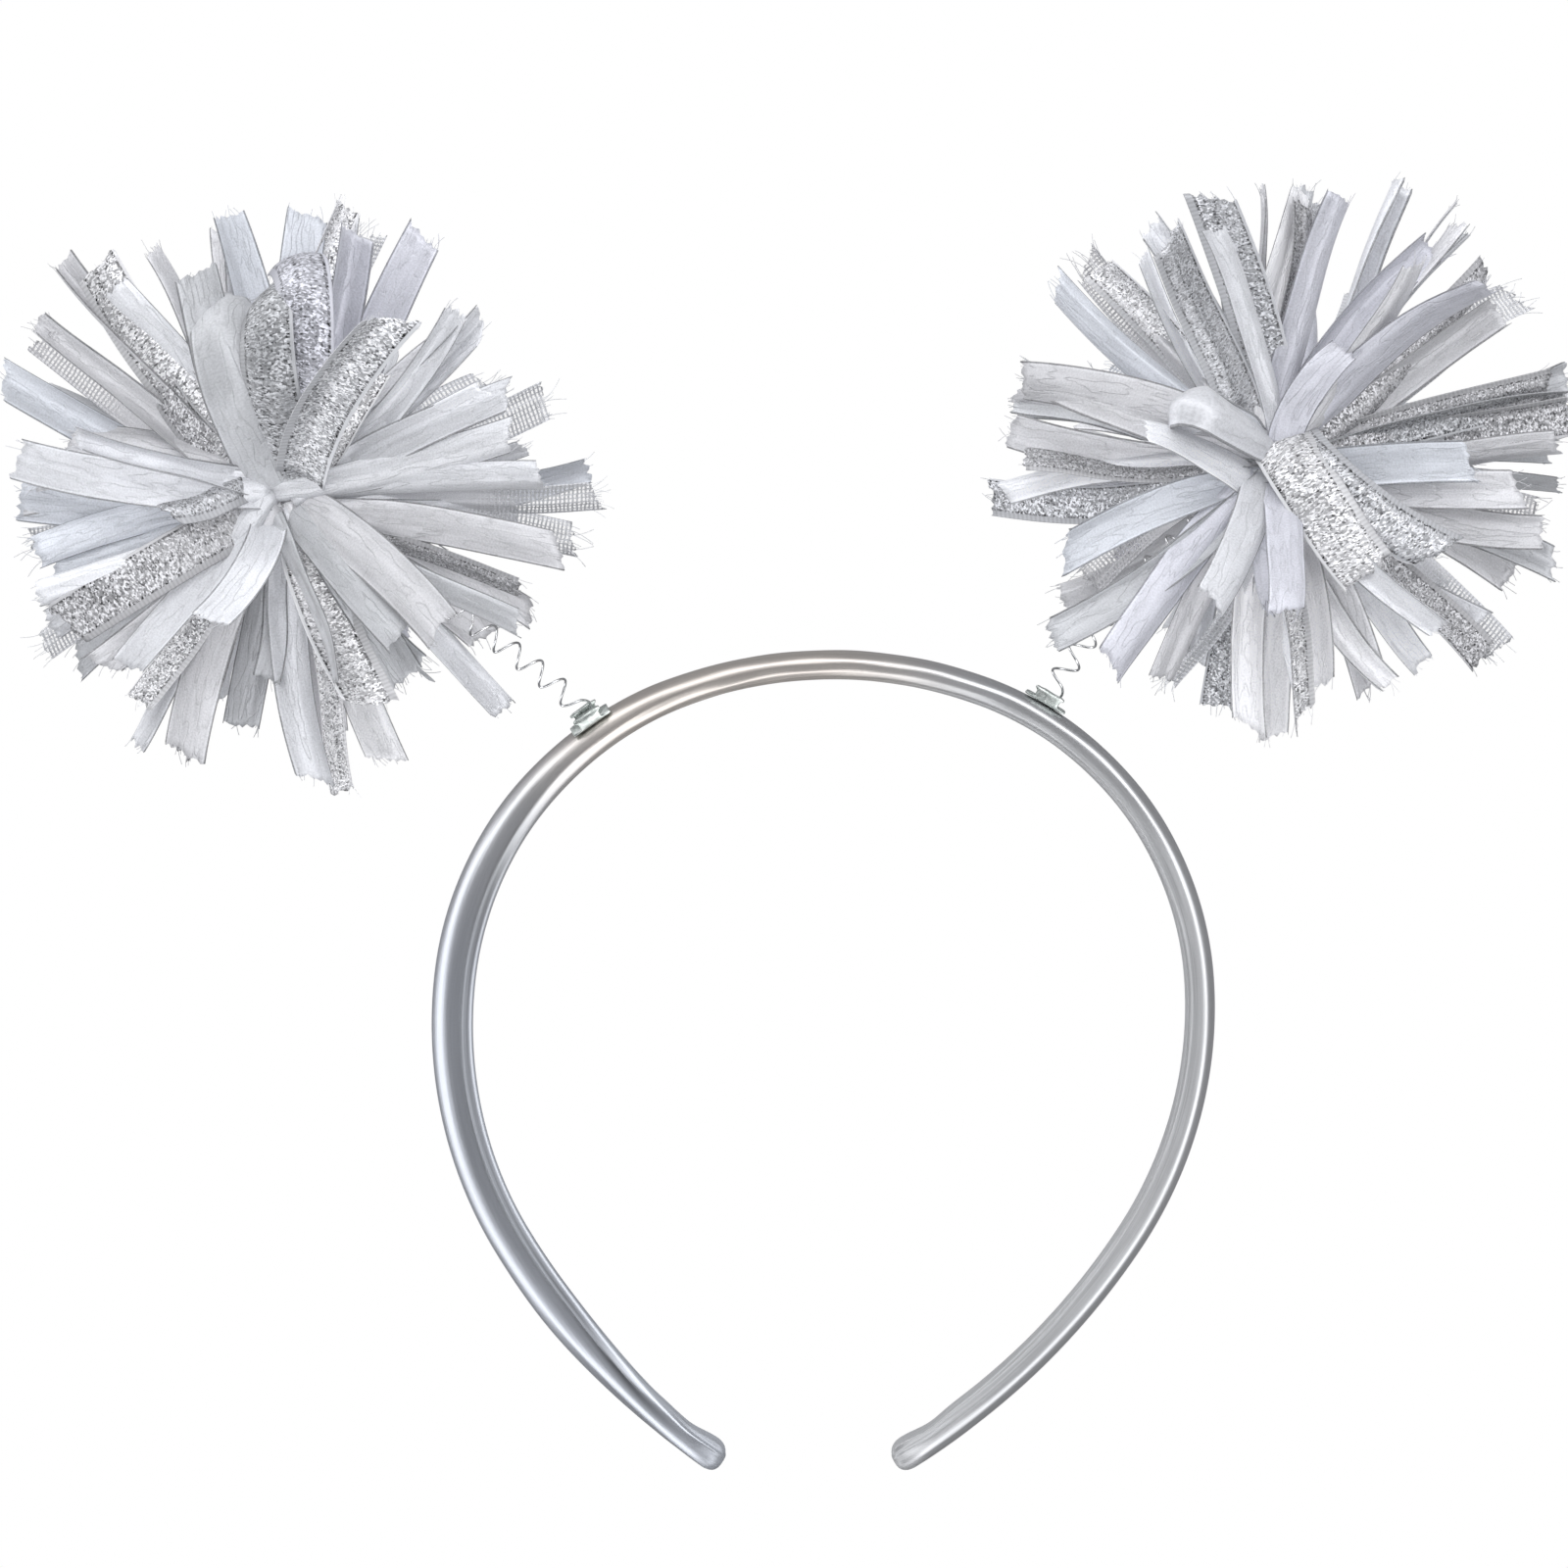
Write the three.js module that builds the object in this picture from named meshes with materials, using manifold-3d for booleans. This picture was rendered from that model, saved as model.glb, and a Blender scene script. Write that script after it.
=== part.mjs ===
// Head bopper: a covered headband with two ribbon pompoms, each on a coil spring held by a small clip.
// Millimetres. +X is the right of the front view, -Y is the front and +Z is up.
// The origin is the inner face of the band at its crown, where it rests on the head.
import * as THREE from 'three';
import { mergeVertices } from 'three/addons/utils/BufferGeometryUtils.js';
import Module from 'manifold-3d';

const wasm = await Module();
wasm.setup();

// Headband: one padded strip, bent to a horseshoe that is widest between its crown and its tips. The middle
// of each half runs from the crown to the tip through four arcs, each with its radius and its sweep in
// degrees. Depth is the strip's breadth from front to back.
const crownRadius = 73;
const crownSweep = 19.7;
const shoulderRadius = 55;
const shoulderSweep = 64.7;
const legRadius = 68.3;
const legSweep = 38;
const tipRadius = 115;
const tipSweep = 25.8;
const bandThickness = 4.75;
const bandDepth = 9;
const tipRounding = 3;
const tipBluntness = 0.45;
// The tips have swayed this far to the left of the crown in use.
const legSway = -3.8;
// A fullness of 2 is an ellipse and more is squarer.
const outerFullness = 2.2;
const innerFullness = 3.2;
// How far the strip is turned about its length, in degrees, at its crown, on each leg and at both tips. The
// leg's turn is reached over the first share of the way to the tip, and leaves again from the second one.
const crownLean = 3;
const leftLean = 36;
const rightLean = 2;
const tipLean = 1.7;
const leanFullAt = 0.45;
const leanFadesAt = 0.78;

// Clips: a plate on the outer face of the band, whose front and back edges are folded up to lugs and in over
// the foot of the spring. Spread is from the middle of one clip to the middle of the other, and shift is how
// far both sit to the right of the crown.
const clipSpread = 74;
const clipShift = -2.3;
const clipLength = 7.2;
const plateDepth = 5.6;
const lugLength = 5;
const clipSheet = 0.5;
const plateCorner = 0.8;
const lipCover = 0.25;

// Springs: round wire, wound to one outer diameter along a middle line that bends towards the pompom.
// The foot lies flat between its two angles, which are in degrees round the coil, and the even pitch starts
// this far over the lips of the clip.
const coilDiameter = 3.9;
const wireDiameter = 0.4;
const coilPitch = 4.7;
const footStart = 54;
const footEnd = 306;
const pitchStart = 1;

// Pompoms: flat ribbon locks that spread from a small tied head, each gathered narrow where it is tied.
const headDiameter = 14;
const socketDepth = 3.5;
const ribbonLength = 48;
const ribbonWidth = 6.35;
const ribbonThickness = 1;
const rootWidthShare = 0.34;
const fullWidthAt = 0.6;
// The locks behind: how many, their length as a share of the ribbon's, the angles away from the viewer that
// they span, their bend, and the turn of the flat face from one to the next, in degrees.
const backLocks = 22;
const backReach = 0.92;
const backSpan = [18, 78];
const backBend = 14;
const backFaceStep = 67;

// Room between neighbouring pieces.
const clearance = 0.3;

// How finely round stretches are divided.
const bandStations = 58;
const sectionSides = 14;
const coilSteps = 10;
const wireSides = 5;
const coilLookup = 3;
const lockStations = [0, 0.36, 0.7, 1];
const tipStations = [0, 0.12, 0.4, 1];
const tunnelStations = [0.12, 0.34, 0.56, 0.78, 1];
const tunnelSides = 8;
const tunnelSteps = 8;
const mergeWithin = 0.004;

// The two sides. Reach runs from the clip to the middle of the pompom, lean is how far that way tips outwards
// from upright in degrees, and leave is the share of it over which the spring still points out of the band.
const leftReach = 60.9;
const rightReach = 52.7;
const sides = [
  { name: 'left', side: -1, reach: leftReach, lean: 53.9, leave: 0.16 },
  { name: 'right', side: 1, reach: rightReach, lean: 44, leave: 0.5 },
];

// The locks that show from the front, anticlockwise from the right. Their columns are the clock angle, the
// angle towards the viewer, the length as a share of the ribbon's, the turn of the flat face away from the
// viewer, and the bend towards that face. All angles are in degrees.
const frontLocks = {
  left: [
    [8, 8, 0.9, 15, -8],
    [353, -8, 1.0, 20, 6],
    [345, 4, 0.9, 60, 10],
    [334, -4, 0.92, 30, -8],
    [322, 48, 0.93, 10, -18],
    [345, 56, 0.8, 25, -14],
    [313, 2, 0.97, 15, -6],
    [299, 28, 0.84, 50, 10],
    [289, 0, 0.98, 12, -8],
    [282, 34, 0.98, 10, -14],
    [268, 5, 0.95, 5, -5],
    [257, -6, 0.8, 30, 8],
    [247, 12, 0.92, 10, -8],
    [252, 54, 0.82, 15, -14],
    [238, 14, 0.94, 18, -12],
    [220, 4, 0.86, 55, 12],
    [211, 28, 0.84, 12, -12],
    [208, -8, 0.98, 15, 6],
    [194, 14, 0.86, 8, -6],
    [182, 50, 0.8, 20, -12],
    [185, -6, 0.92, 15, 5],
    [174, 16, 0.82, 5, -4],
    [160, 6, 0.82, 30, 10],
    [151, -2, 1.0, 12, -6],
    [141, 4, 1.02, 14, 8],
    [132, -2, 1.06, 60, 6],
    [124, -6, 0.98, 8, -6],
    [110, 0, 0.91, 45, 8],
    [100, 44, 0.9, 5, -24],
    [99, 2, 1.0, 18, 6],
    [91, -4, 1.0, 12, -6],
    [112, 62, 0.84, 12, -20],
    [86, 42, 0.94, 8, -22],
    [82, -6, 0.99, 15, 8],
    [70, 2, 0.9, 40, 6],
    [64, 36, 0.86, 10, -20],
    [61, -6, 0.94, 12, 6],
    [39, 8, 0.82, 15, 12],
    [25, 10, 0.88, 20, -8],
    [14, -2, 0.84, 40, 8],
  ],
  right: [
    [16, 6, 1.0, 50, 8],
    [8, 48, 0.84, 15, -16],
    [9, -6, 1.02, 25, -6],
    [357, 14, 0.88, 14, -8],
    [350, -6, 0.96, 40, 6],
    [340, 6, 0.92, 20, -8],
    [333, 46, 0.85, 12, -26],
    [326, -4, 0.95, 45, 6],
    [316, 2, 0.88, 22, -8],
    [303, 56, 0.92, 6, -30],
    [303, 4, 0.82, 25, 10],
    [291, -4, 0.85, 25, -8],
    [283, 14, 0.9, 55, 8],
    [271, 4, 0.9, 12, -6],
    [268, 56, 0.86, 6, -10],
    [259, 0, 0.88, 15, 6],
    [247, 52, 0.86, 8, -12],
    [233, 30, 0.93, 10, -12],
    [226, 14, 0.96, 12, -8],
    [214, -6, 0.78, 25, 10],
    [197, 12, 0.8, 25, -8],
    [178, 50, 0.78, 15, -12],
    [190, 0, 0.94, 15, 6],
    [183, 8, 0.9, 30, -6],
    [175, -2, 0.9, 15, 8],
    [161, 16, 0.9, 12, -8],
    [154, -4, 0.84, 35, 8],
    [146, 8, 0.97, 10, -8],
    [137, 52, 0.72, 10, -14],
    [133, -4, 0.93, 18, 6],
    [123, 4, 0.9, 40, 8],
    [116, 12, 0.94, 12, -8],
    [108, 16, 0.88, 15, 6],
    [101, 2, 0.94, 15, -6],
    [98, 48, 0.84, 12, -16],
    [91, 8, 0.94, 12, 10],
    [79, 2, 0.97, 40, -6],
    [67, -6, 1.02, 22, 6],
    [58, 50, 0.82, 20, -14],
    [50, 12, 0.95, 10, 14],
    [40, 0, 1.0, 15, -8],
    [29, -8, 0.84, 25, 6],
  ],
};

const degree = Math.PI / 180;
const fullTurn = 360;
// A lock that points this nearly at or away from the viewer shows its face upwards instead.
const endOn = 0.96;
const front = new THREE.Vector3(0, -1, 0);
const upward = new THREE.Vector3(0, 0, 1);

const colours = {
  cover: new THREE.MeshStandardMaterial({ color: 0xb4b4b6, roughness: 0.32, metalness: 0.75 }),
  zinc: new THREE.MeshStandardMaterial({ color: 0x9aa39f, roughness: 0.4, metalness: 0.9 }),
  wire: new THREE.MeshStandardMaterial({ color: 0x8d9092, roughness: 0.3, metalness: 1 }),
  ribbon: new THREE.MeshStandardMaterial({ color: 0xd3d5da, roughness: 0.45, metalness: 0.25 }),
};

// A closed surface through rings of equally many points, with a flat fan over the first and the last ring.
function loft(rings) {
  const count = rings[0].length;
  const corners = [];
  const triangle = (a, b, c) => corners.push(a, b, c);
  for (let i = 0; i + 1 < rings.length; i++) {
    for (let j = 0; j < count; j++) {
      const k = (j + 1) % count;
      triangle(rings[i][j], rings[i][k], rings[i + 1][k]);
      triangle(rings[i][j], rings[i + 1][k], rings[i + 1][j]);
    }
  }
  const last = rings[rings.length - 1];
  for (let j = 1; j + 1 < count; j++) {
    triangle(rings[0][0], rings[0][j + 1], rings[0][j]);
    triangle(last[0], last[j], last[j + 1]);
  }
  return new THREE.BufferGeometry().setFromPoints(corners);
}

// A geometry as a solid that can be joined and cut.
function solid(geometry) {
  const bare = geometry.clone();
  bare.deleteAttribute('normal');
  bare.deleteAttribute('uv');
  const merged = mergeVertices(bare);
  return new wasm.Manifold(new wasm.Mesh({
    numProp: 3,
    vertProperties: merged.getAttribute('position').array,
    triVerts: new Uint32Array(merged.index.array),
  }));
}

// A solid as a geometry for a mesh.
function geometryOf(made) {
  const mesh = made.getMesh();
  const geometry = new THREE.BufferGeometry();
  geometry.setAttribute('position', new THREE.BufferAttribute(mesh.vertProperties, mesh.numProp));
  geometry.setIndex(new THREE.BufferAttribute(mesh.triVerts, 1));
  geometry.computeVertexNormals();
  return geometry;
}

// A flat outline through corners, each given as a pair.
function outlineOf(corners) {
  return new THREE.Shape(corners.map(([x, y]) => new THREE.Vector2(x, y)));
}

function polygon(count, radius) {
  const angles = Array.from({ length: count }, (_, i) => (i / count) * 2 * Math.PI);
  return outlineOf(angles.map((angle) => [radius * Math.cos(angle), radius * Math.sin(angle)]));
}

// The size of a value to an exponent, with its sign, for the full curves of the band's section.
function power(value, exponent) {
  return Math.sign(value) * Math.abs(value) ** exponent;
}

// The middle line of the band. Turn is the share of the way from the crown to a tip, and runs to +1 at the
// right tip and to -1 at the left one.
const bandArcs = [
  { radius: crownRadius, sweep: crownSweep * degree },
  { radius: shoulderRadius, sweep: shoulderSweep * degree },
  { radius: legRadius, sweep: legSweep * degree },
  { radius: tipRadius, sweep: tipSweep * degree },
];
const halfLength = bandArcs.reduce((sum, { radius, sweep }) => sum + radius * sweep, 0);

function bandPoint(turn) {
  const middle = new THREE.Vector3(0, 0, bandThickness / 2);
  let left = Math.abs(turn) * halfLength;
  let heading = 0;
  bandArcs.forEach(({ radius, sweep }, i) => {
    const swept = i + 1 < bandArcs.length ? Math.min(left / radius, sweep) : left / radius;
    middle.x += radius * (Math.sin(heading + swept) - Math.sin(heading));
    middle.z += radius * (Math.cos(heading + swept) - Math.cos(heading));
    heading += swept;
    left -= swept * radius;
  });
  middle.x = Math.sign(turn) * middle.x + legSway * turn ** 2;
  return middle;
}

// The middle of the band at one turn, with its direction and the way out of its ring there.
function bandFrame(turn) {
  const step = 0.002;
  const along = bandPoint(turn + step).sub(bandPoint(turn - step)).normalize();
  const out = new THREE.Vector3().crossVectors(front, along).normalize();
  return { point: bandPoint(turn), along, out };
}

// The same with the strip turned about its length, so that its outer face shows from the front.
function leanedFrame(turn) {
  const { point, along, out } = bandFrame(turn);
  const { smoothstep, lerp } = THREE.MathUtils;
  const leg = lerp(crownLean, turn < 0 ? leftLean : rightLean, smoothstep(Math.abs(turn), 0, leanFullAt));
  const lean = lerp(leg, tipLean, smoothstep(Math.abs(turn), leanFadesAt, 1)) * degree;
  const forward = front.clone().applyAxisAngle(along, lean);
  return { point, along, outward: out.applyAxisAngle(along, lean), forward };
}

// One cross-section, domed on its outer face and flatter on its inner one, drawn in by shrink at the tips.
function bandRing(turn, shrink) {
  const { point, outward, forward } = leanedFrame(turn);
  const ring = [];
  for (let i = 0; i < sectionSides; i++) {
    const angle = (i / sectionSides) * 2 * Math.PI;
    const fullness = Math.cos(angle) > 0 ? outerFullness : innerFullness;
    const rise = (bandThickness / 2) * power(Math.cos(angle), 2 / fullness) * shrink;
    const side = (bandDepth / 2) * power(Math.sin(angle), 2 / fullness) * shrink;
    ring.push(point.clone().addScaledVector(outward, rise).addScaledVector(forward, side));
  }
  return ring;
}

// The tips round off over their last stretch, as a quarter circle does.
function headband() {
  const tipTurn = tipRounding / halfLength;
  const rounded = tipStations.map((share) => 1 - share * tipTurn);
  const between = Array.from({ length: bandStations - 1 }, (_, i) => (
    (1 - tipTurn) * (2 * (i + 1) / bandStations - 1)
  ));
  const turns = [...rounded.map((turn) => -turn), ...between, ...rounded.toReversed()];
  return loft(turns.map((turn) => {
    const inside = Math.min(1, (1 - Math.abs(turn)) / tipTurn);
    return bandRing(turn, THREE.MathUtils.lerp(tipBluntness, 1, Math.sqrt(1 - (1 - inside) ** 2)));
  }));
}

// The turn at which the band's outer face lies a given distance from the middle on one side.
function turnAt(side, across) {
  let low = 0;
  let high = 0.5;
  for (let i = 0; i < 40; i++) {
    const middle = (low + high) / 2;
    const { point, out } = bandFrame(side * middle);
    if (side * (point.x + out.x * bandThickness / 2) < across) low = middle;
    else high = middle;
  }
  return side * low;
}

// Where a clip sits: its middle on the band's outer face, with the band's directions there.
function clipSeat(side) {
  const { point, along, outward, forward } = leanedFrame(turnAt(side, clipSpread / 2 + side * clipShift));
  return { place: point.addScaledVector(outward, bandThickness / 2 + clearance), along, outward, forward };
}

// Heights above the underside of the clip's plate.
const coilRadius = (coilDiameter - wireDiameter) / 2;
const footHeight = clipSheet + clearance + wireDiameter / 2;
const lugHeight = 2 * clipSheet + 2 * clearance + wireDiameter;
const pitchHeight = lugHeight + clearance + wireDiameter / 2 + pitchStart;
const lipReach = coilRadius - lipCover;

// The clip in its own place: x along the band, y front to back and z out of the band.
function clip() {
  const [long, deep, round] = [clipLength / 2, plateDepth / 2, plateCorner];
  const plate = outlineOf([
    [round - long, -deep], [long - round, -deep], [long, round - deep], [long, deep - round],
    [long - round, deep], [round - long, deep], [-long, deep - round], [-long, round - deep],
  ]);
  const base = new THREE.ExtrudeGeometry(plate, { depth: clipSheet, bevelEnabled: false });
  const lug = outlineOf([
    [deep - clipSheet, clipSheet / 2], [deep, clipSheet / 2], [deep, lugHeight - clipSheet],
    [deep - clipSheet, lugHeight], [lipReach, lugHeight], [lipReach, lugHeight - clipSheet],
    [deep - clipSheet, lugHeight - clipSheet],
  ]);
  const behind = new THREE.ExtrudeGeometry(lug, { depth: lugLength, bevelEnabled: false });
  behind.translate(0, 0, -lugLength / 2).rotateX(Math.PI / 2).rotateZ(Math.PI / 2);
  const before = behind.clone().rotateZ(Math.PI);
  return geometryOf(solid(base).add(solid(behind)).add(solid(before)));
}

// A spring's middle line, from the underside of the clip's plate to the middle of the pompom.
function springLine(seat, target, leave) {
  const span = seat.place.distanceTo(target);
  const control = seat.place.clone().addScaledVector(seat.outward, span * leave);
  return new THREE.QuadraticBezierCurve3(seat.place, control, target);
}

// The wire: a flat foot under both lips of the clip, a steep climb clear of them, and then an even pitch.
class Coil extends THREE.Curve {
  constructor(line, rise) {
    super();
    this.line = line;
    this.lineLength = line.getLength();
    this.climbEnd = fullTurn + footStart;
    this.end = this.climbEnd + ((rise - pitchHeight) / coilPitch) * fullTurn;
    this.arcLengthDivisions = Math.ceil(this.end / coilLookup);
  }

  height(angle) {
    if (angle < footEnd) return footHeight;
    if (angle > this.climbEnd) return pitchHeight + ((angle - this.climbEnd) / fullTurn) * coilPitch;
    const share = (angle - footEnd) / (this.climbEnd - footEnd);
    return footHeight + share * (pitchHeight - footHeight);
  }

  getPoint(t, target = new THREE.Vector3()) {
    const angle = footStart + t * (this.end - footStart);
    const share = this.height(angle) / this.lineLength;
    const along = this.line.getTangentAt(share);
    const across = new THREE.Vector3().crossVectors(along, front).normalize();
    const ahead = new THREE.Vector3().crossVectors(across, along);
    return target.copy(this.line.getPointAt(share))
      .addScaledVector(across, coilRadius * Math.cos(angle * degree))
      .addScaledVector(ahead, coilRadius * Math.sin(angle * degree));
  }
}

function spring(line) {
  const coil = new Coil(line, line.getLength() - headDiameter / 2 + socketDepth);
  const steps = Math.round(((coil.end - footStart) / fullTurn) * coilSteps);
  const section = polygon(wireSides, wireDiameter / 2);
  return new THREE.ExtrudeGeometry(section, { steps, extrudePath: coil });
}

// The way that the spring takes into the pompom, with room round the coil and past its end.
function tunnel(line) {
  const end = line.getLength() - headDiameter / 2 + socketDepth + wireDiameter / 2 + clearance;
  const radius = (coilDiameter / 2 + clearance) / Math.cos(Math.PI / tunnelSides);
  const path = new THREE.CatmullRomCurve3(
    tunnelStations.map((share) => line.getPointAt((share * end) / line.getLength())),
  );
  return new THREE.ExtrudeGeometry(polygon(tunnelSides, radius), { steps: tunnelSteps, extrudePath: path });
}

// One lock. Its middle line is an arc that leaves the tie along its direction and bends towards its flat
// face, and it widens from the tie outwards.
function lock(centre, [turn, toward, reach, face, bend]) {
  const length = reach * ribbonLength;
  const level = new THREE.Vector3(Math.cos(turn * degree), 0, Math.sin(turn * degree));
  const direction = level.multiplyScalar(Math.cos(toward * degree));
  direction.addScaledVector(front, Math.sin(toward * degree));
  const shown = Math.abs(direction.y) > endOn ? upward : front;
  const facing = shown.clone().projectOnPlane(direction).normalize();
  const normal = facing.applyAxisAngle(direction, face * degree);
  const across = new THREE.Vector3().crossVectors(normal, direction);
  const start = headDiameter / 4 / length;
  return solid(loft(lockStations.map((station) => {
    const share = start + station * (1 - start);
    const angle = bend * degree * share;
    const radius = length / (bend * degree);
    const middle = centre.clone()
      .addScaledVector(direction, radius * Math.sin(angle))
      .addScaledVector(normal, radius * (1 - Math.cos(angle)));
    const thick = normal.clone().multiplyScalar(Math.cos(angle)).addScaledVector(direction, -Math.sin(angle));
    const grown = THREE.MathUtils.lerp(rootWidthShare, 1, Math.min(1, share / fullWidthAt));
    const halfAcross = across.clone().multiplyScalar((ribbonWidth / 2) * grown);
    const halfThick = thick.multiplyScalar(ribbonThickness / 2);
    return [[1, 1], [-1, 1], [-1, -1], [1, -1]].map(([a, b]) => (
      middle.clone().addScaledVector(halfAcross, a).addScaledVector(halfThick, b)
    ));
  })));
}

// The locks behind fill the back of the ball evenly, each a golden angle on from the last one.
function backRows() {
  const golden = (fullTurn / 2) * (3 - Math.sqrt(5));
  const [near, far] = backSpan.map((angle) => Math.sin(angle * degree));
  return Array.from({ length: backLocks }, (_, i) => {
    const away = THREE.MathUtils.lerp(near, far, (i + 0.5) / backLocks);
    const bend = i % 2 ? backBend : -backBend;
    return [i * golden, -Math.asin(away) / degree, backReach, (i * backFaceStep) % (fullTurn / 2), bend];
  });
}

// The pompom: head and locks joined, the spring's way cut out, and scraps that the cut sets loose left off.
function pompom(name, centre, line) {
  const head = solid(new THREE.IcosahedronGeometry(headDiameter / 2, 1).translate(...centre));
  const locks = [...frontLocks[name], ...backRows()].map((row) => lock(centre, row));
  const cut = wasm.Manifold.union([head, ...locks]).subtract(solid(tunnel(line)));
  const [largest] = cut.decompose().sort((a, b) => b.volume() - a.volume());
  return geometryOf(largest.simplify(mergeWithin));
}

function piece(name, geometry, material) {
  const mesh = new THREE.Mesh(geometry, material);
  mesh.name = name;
  return mesh;
}

const headBopper = new THREE.Group();
headBopper.add(piece('headband', headband(), colours.cover));
for (const { name, side, reach, lean, leave } of sides) {
  const seat = clipSeat(side);
  const way = new THREE.Vector3(side * Math.sin(lean * degree), 0, Math.cos(lean * degree));
  const centre = seat.place.clone().addScaledVector(way, reach);
  const line = springLine(seat, centre, leave);
  const held = piece(`spring_clip_${name}`, clip(), colours.zinc);
  const turned = new THREE.Matrix4().makeBasis(seat.along, seat.forward.negate(), seat.outward);
  held.quaternion.setFromRotationMatrix(turned);
  held.position.copy(seat.place);
  headBopper.add(held);
  headBopper.add(piece(`spring_${name}`, spring(line), colours.wire));
  headBopper.add(piece(`pompom_${name}`, pompom(name, centre, line), colours.ribbon));
}

export default headBopper;
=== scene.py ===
import math

import bpy
import numpy as np
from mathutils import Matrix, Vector


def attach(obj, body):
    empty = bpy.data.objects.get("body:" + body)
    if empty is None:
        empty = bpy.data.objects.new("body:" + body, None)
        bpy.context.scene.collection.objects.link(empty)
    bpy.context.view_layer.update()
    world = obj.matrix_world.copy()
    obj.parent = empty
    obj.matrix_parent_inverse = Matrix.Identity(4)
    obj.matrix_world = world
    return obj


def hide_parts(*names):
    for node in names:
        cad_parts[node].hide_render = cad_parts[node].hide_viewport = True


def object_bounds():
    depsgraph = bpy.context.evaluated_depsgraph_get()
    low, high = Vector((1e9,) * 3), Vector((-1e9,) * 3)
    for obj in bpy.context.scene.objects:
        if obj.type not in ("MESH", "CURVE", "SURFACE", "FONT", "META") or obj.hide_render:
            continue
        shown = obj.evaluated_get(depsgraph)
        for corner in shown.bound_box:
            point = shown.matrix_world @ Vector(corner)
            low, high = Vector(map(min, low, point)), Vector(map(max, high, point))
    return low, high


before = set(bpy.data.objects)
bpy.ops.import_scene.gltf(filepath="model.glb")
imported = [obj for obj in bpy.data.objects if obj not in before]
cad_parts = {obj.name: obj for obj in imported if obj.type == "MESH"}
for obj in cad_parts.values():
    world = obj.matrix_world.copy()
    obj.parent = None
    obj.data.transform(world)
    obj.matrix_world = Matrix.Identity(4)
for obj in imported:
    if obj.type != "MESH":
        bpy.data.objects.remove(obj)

# Looks of a head bopper: a satin covered headband with two ribbon pompoms on springs.
# Lengths are in millimetres and angles in degrees. A mesh is turned to metres when it is made.
cad_low, cad_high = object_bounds()
METRE = 0.001
FULL_TURN = 360
BODY = "root"
FRONT = np.array([0.0, -1.0, 0.0])
UPWARD = np.array([0.0, 0.0, 1.0])
SEED = 11
rng = np.random.default_rng(SEED)

# The photograph is square. One of its pixels is this long at the object's middle plane, and the origin of
# the frame, the inner face of the band at its crown, lies on this pixel.
PHOTO_PIXELS = 1600
PIXEL_LENGTH = 0.16
ORIGIN_PIXEL = (848.6, 693)
LENS = 85
SENSOR = 36

# Headband, as in the solid model: four arcs a side from the crown to the tip, each a radius and a sweep.
# The strip leans towards the front, fully at one share of a leg and less again from another to the tip.
BAND_ARCS = {"crown": (73, 19.7), "shoulder": (55, 64.7), "leg": (68.3, 38), "tip": (115, 25.8)}
BAND_THICKNESS = 4.75
BAND_DEPTH = 9
TIP_ROUNDING = 3
LEG_SWAY = -3.8
OUTER_FULLNESS = 2.2
INNER_FULLNESS = 3.2
CROWN_LEAN = 3
LEFT_LEAN = 36
RIGHT_LEAN = 2
TIP_LEAN = 1.7
LEAN_FULL_AT = 0.45
LEAN_FADES_AT = 0.78

# The cover's relief. Pleats at the tips fade over a length. A knob and a neck each have a distance from the
# tip, a breadth and a height. A ridge, a groove and the duller look of the seam each have an angle from the
# seam, a breadth in degrees and a height. A stripe of painted highlight and one of painted shade have an
# angle from the outer face and a breadth, and run down the left leg between shares of it.
TIP_FULLNESS = 2.6
TIP_POINT = 0.004
PLEATS = 7
PLEAT_DEPTH = 0.3
PLEAT_FADE = 11
KNOB = (3, 2.5, 0.12)
NECK = (8, 3, -0.4)
CREASE_DEPTH = 0.05
PINCH_DEPTH = 0.03
SEAM_ANGLE = 146
SEAM_RIDGE = (0, 7, 0.12)
SEAM_GROOVE = (-12, 4, -0.14)
SEAM_LOOK = (-9, 7, 1.0)
# Both stripes are painted light on the left leg: a pale line of painted highlight and a darker stripe of
# painted shade.
PAINTED_HIGHLIGHT_STRIPE = (104, 6, 1.0)
PAINTED_SHADE_STRIPE = (84, 14, 1.0)
PAINTED_STRIPES_START = (0.24, 0.4)
PAINTED_STRIPES_END = (0.97, 0.86)

# Where the cover turns rougher: the angles off its outer face from which and at which it is rough, each on
# the left leg and on the right one, the turns between which the one becomes the other, and near the tips.
ROUGH_FROM = (95, 60)
ROUGH_FULL = (128, 115)
ROUGH_RIGHT = (0.2, 0.45)
ROUGH_TIP = (6, 1.5)

# Clips and springs, as in the solid model.
CLIP_SPREAD = 74
CLIP_SHIFT = -2.3
CLIP_LENGTH = 7.2
PLATE_DEPTH = 5.6
LUG_LENGTH = 5
CLIP_SHEET = 0.5
LIP_COVER = 0.25
COIL_DIAMETER = 3.9
WIRE_DIAMETER = 0.4
COIL_PITCH = 4.7
FOOT_START = 54
FOOT_END = 306
PITCH_START = 1
CLEARANCE = 0.3

# What only shows in the details of a clip: the neck of its lugs, the radius of its bends, how far the plate
# is bowed to the cover, how far the ends of the blank are rounded, how far the lugs bulge and the lips are
# dented, and the powers that round the section of the sheet through its thickness and along its edges. Then
# the shares of a lug's height between which it narrows to its neck, widens to its lip, is no longer bowed,
# starts to bulge and starts to be dented, and the waves of a dent in radians a millimetre.
LUG_NECK = 4
SHEET_BEND = 0.5
PLATE_BOW = 0.42
BLANK_ROUNDING = 0.4
LUG_BULGE = 0.22
LIP_DENT = 0.12
SHEET_FULLNESS = (0.5, 0.28)
NECK_SHARES = (0.0, 0.25)
LIP_SHARES = (0.62, 0.9)
BOW_SHARES = (0.1, 0.9)
BULGE_SHARES = (0.1, 0.5)
DENT_SHARES = (0.5, 1)
DENT_WAVES = 2.1

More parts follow.
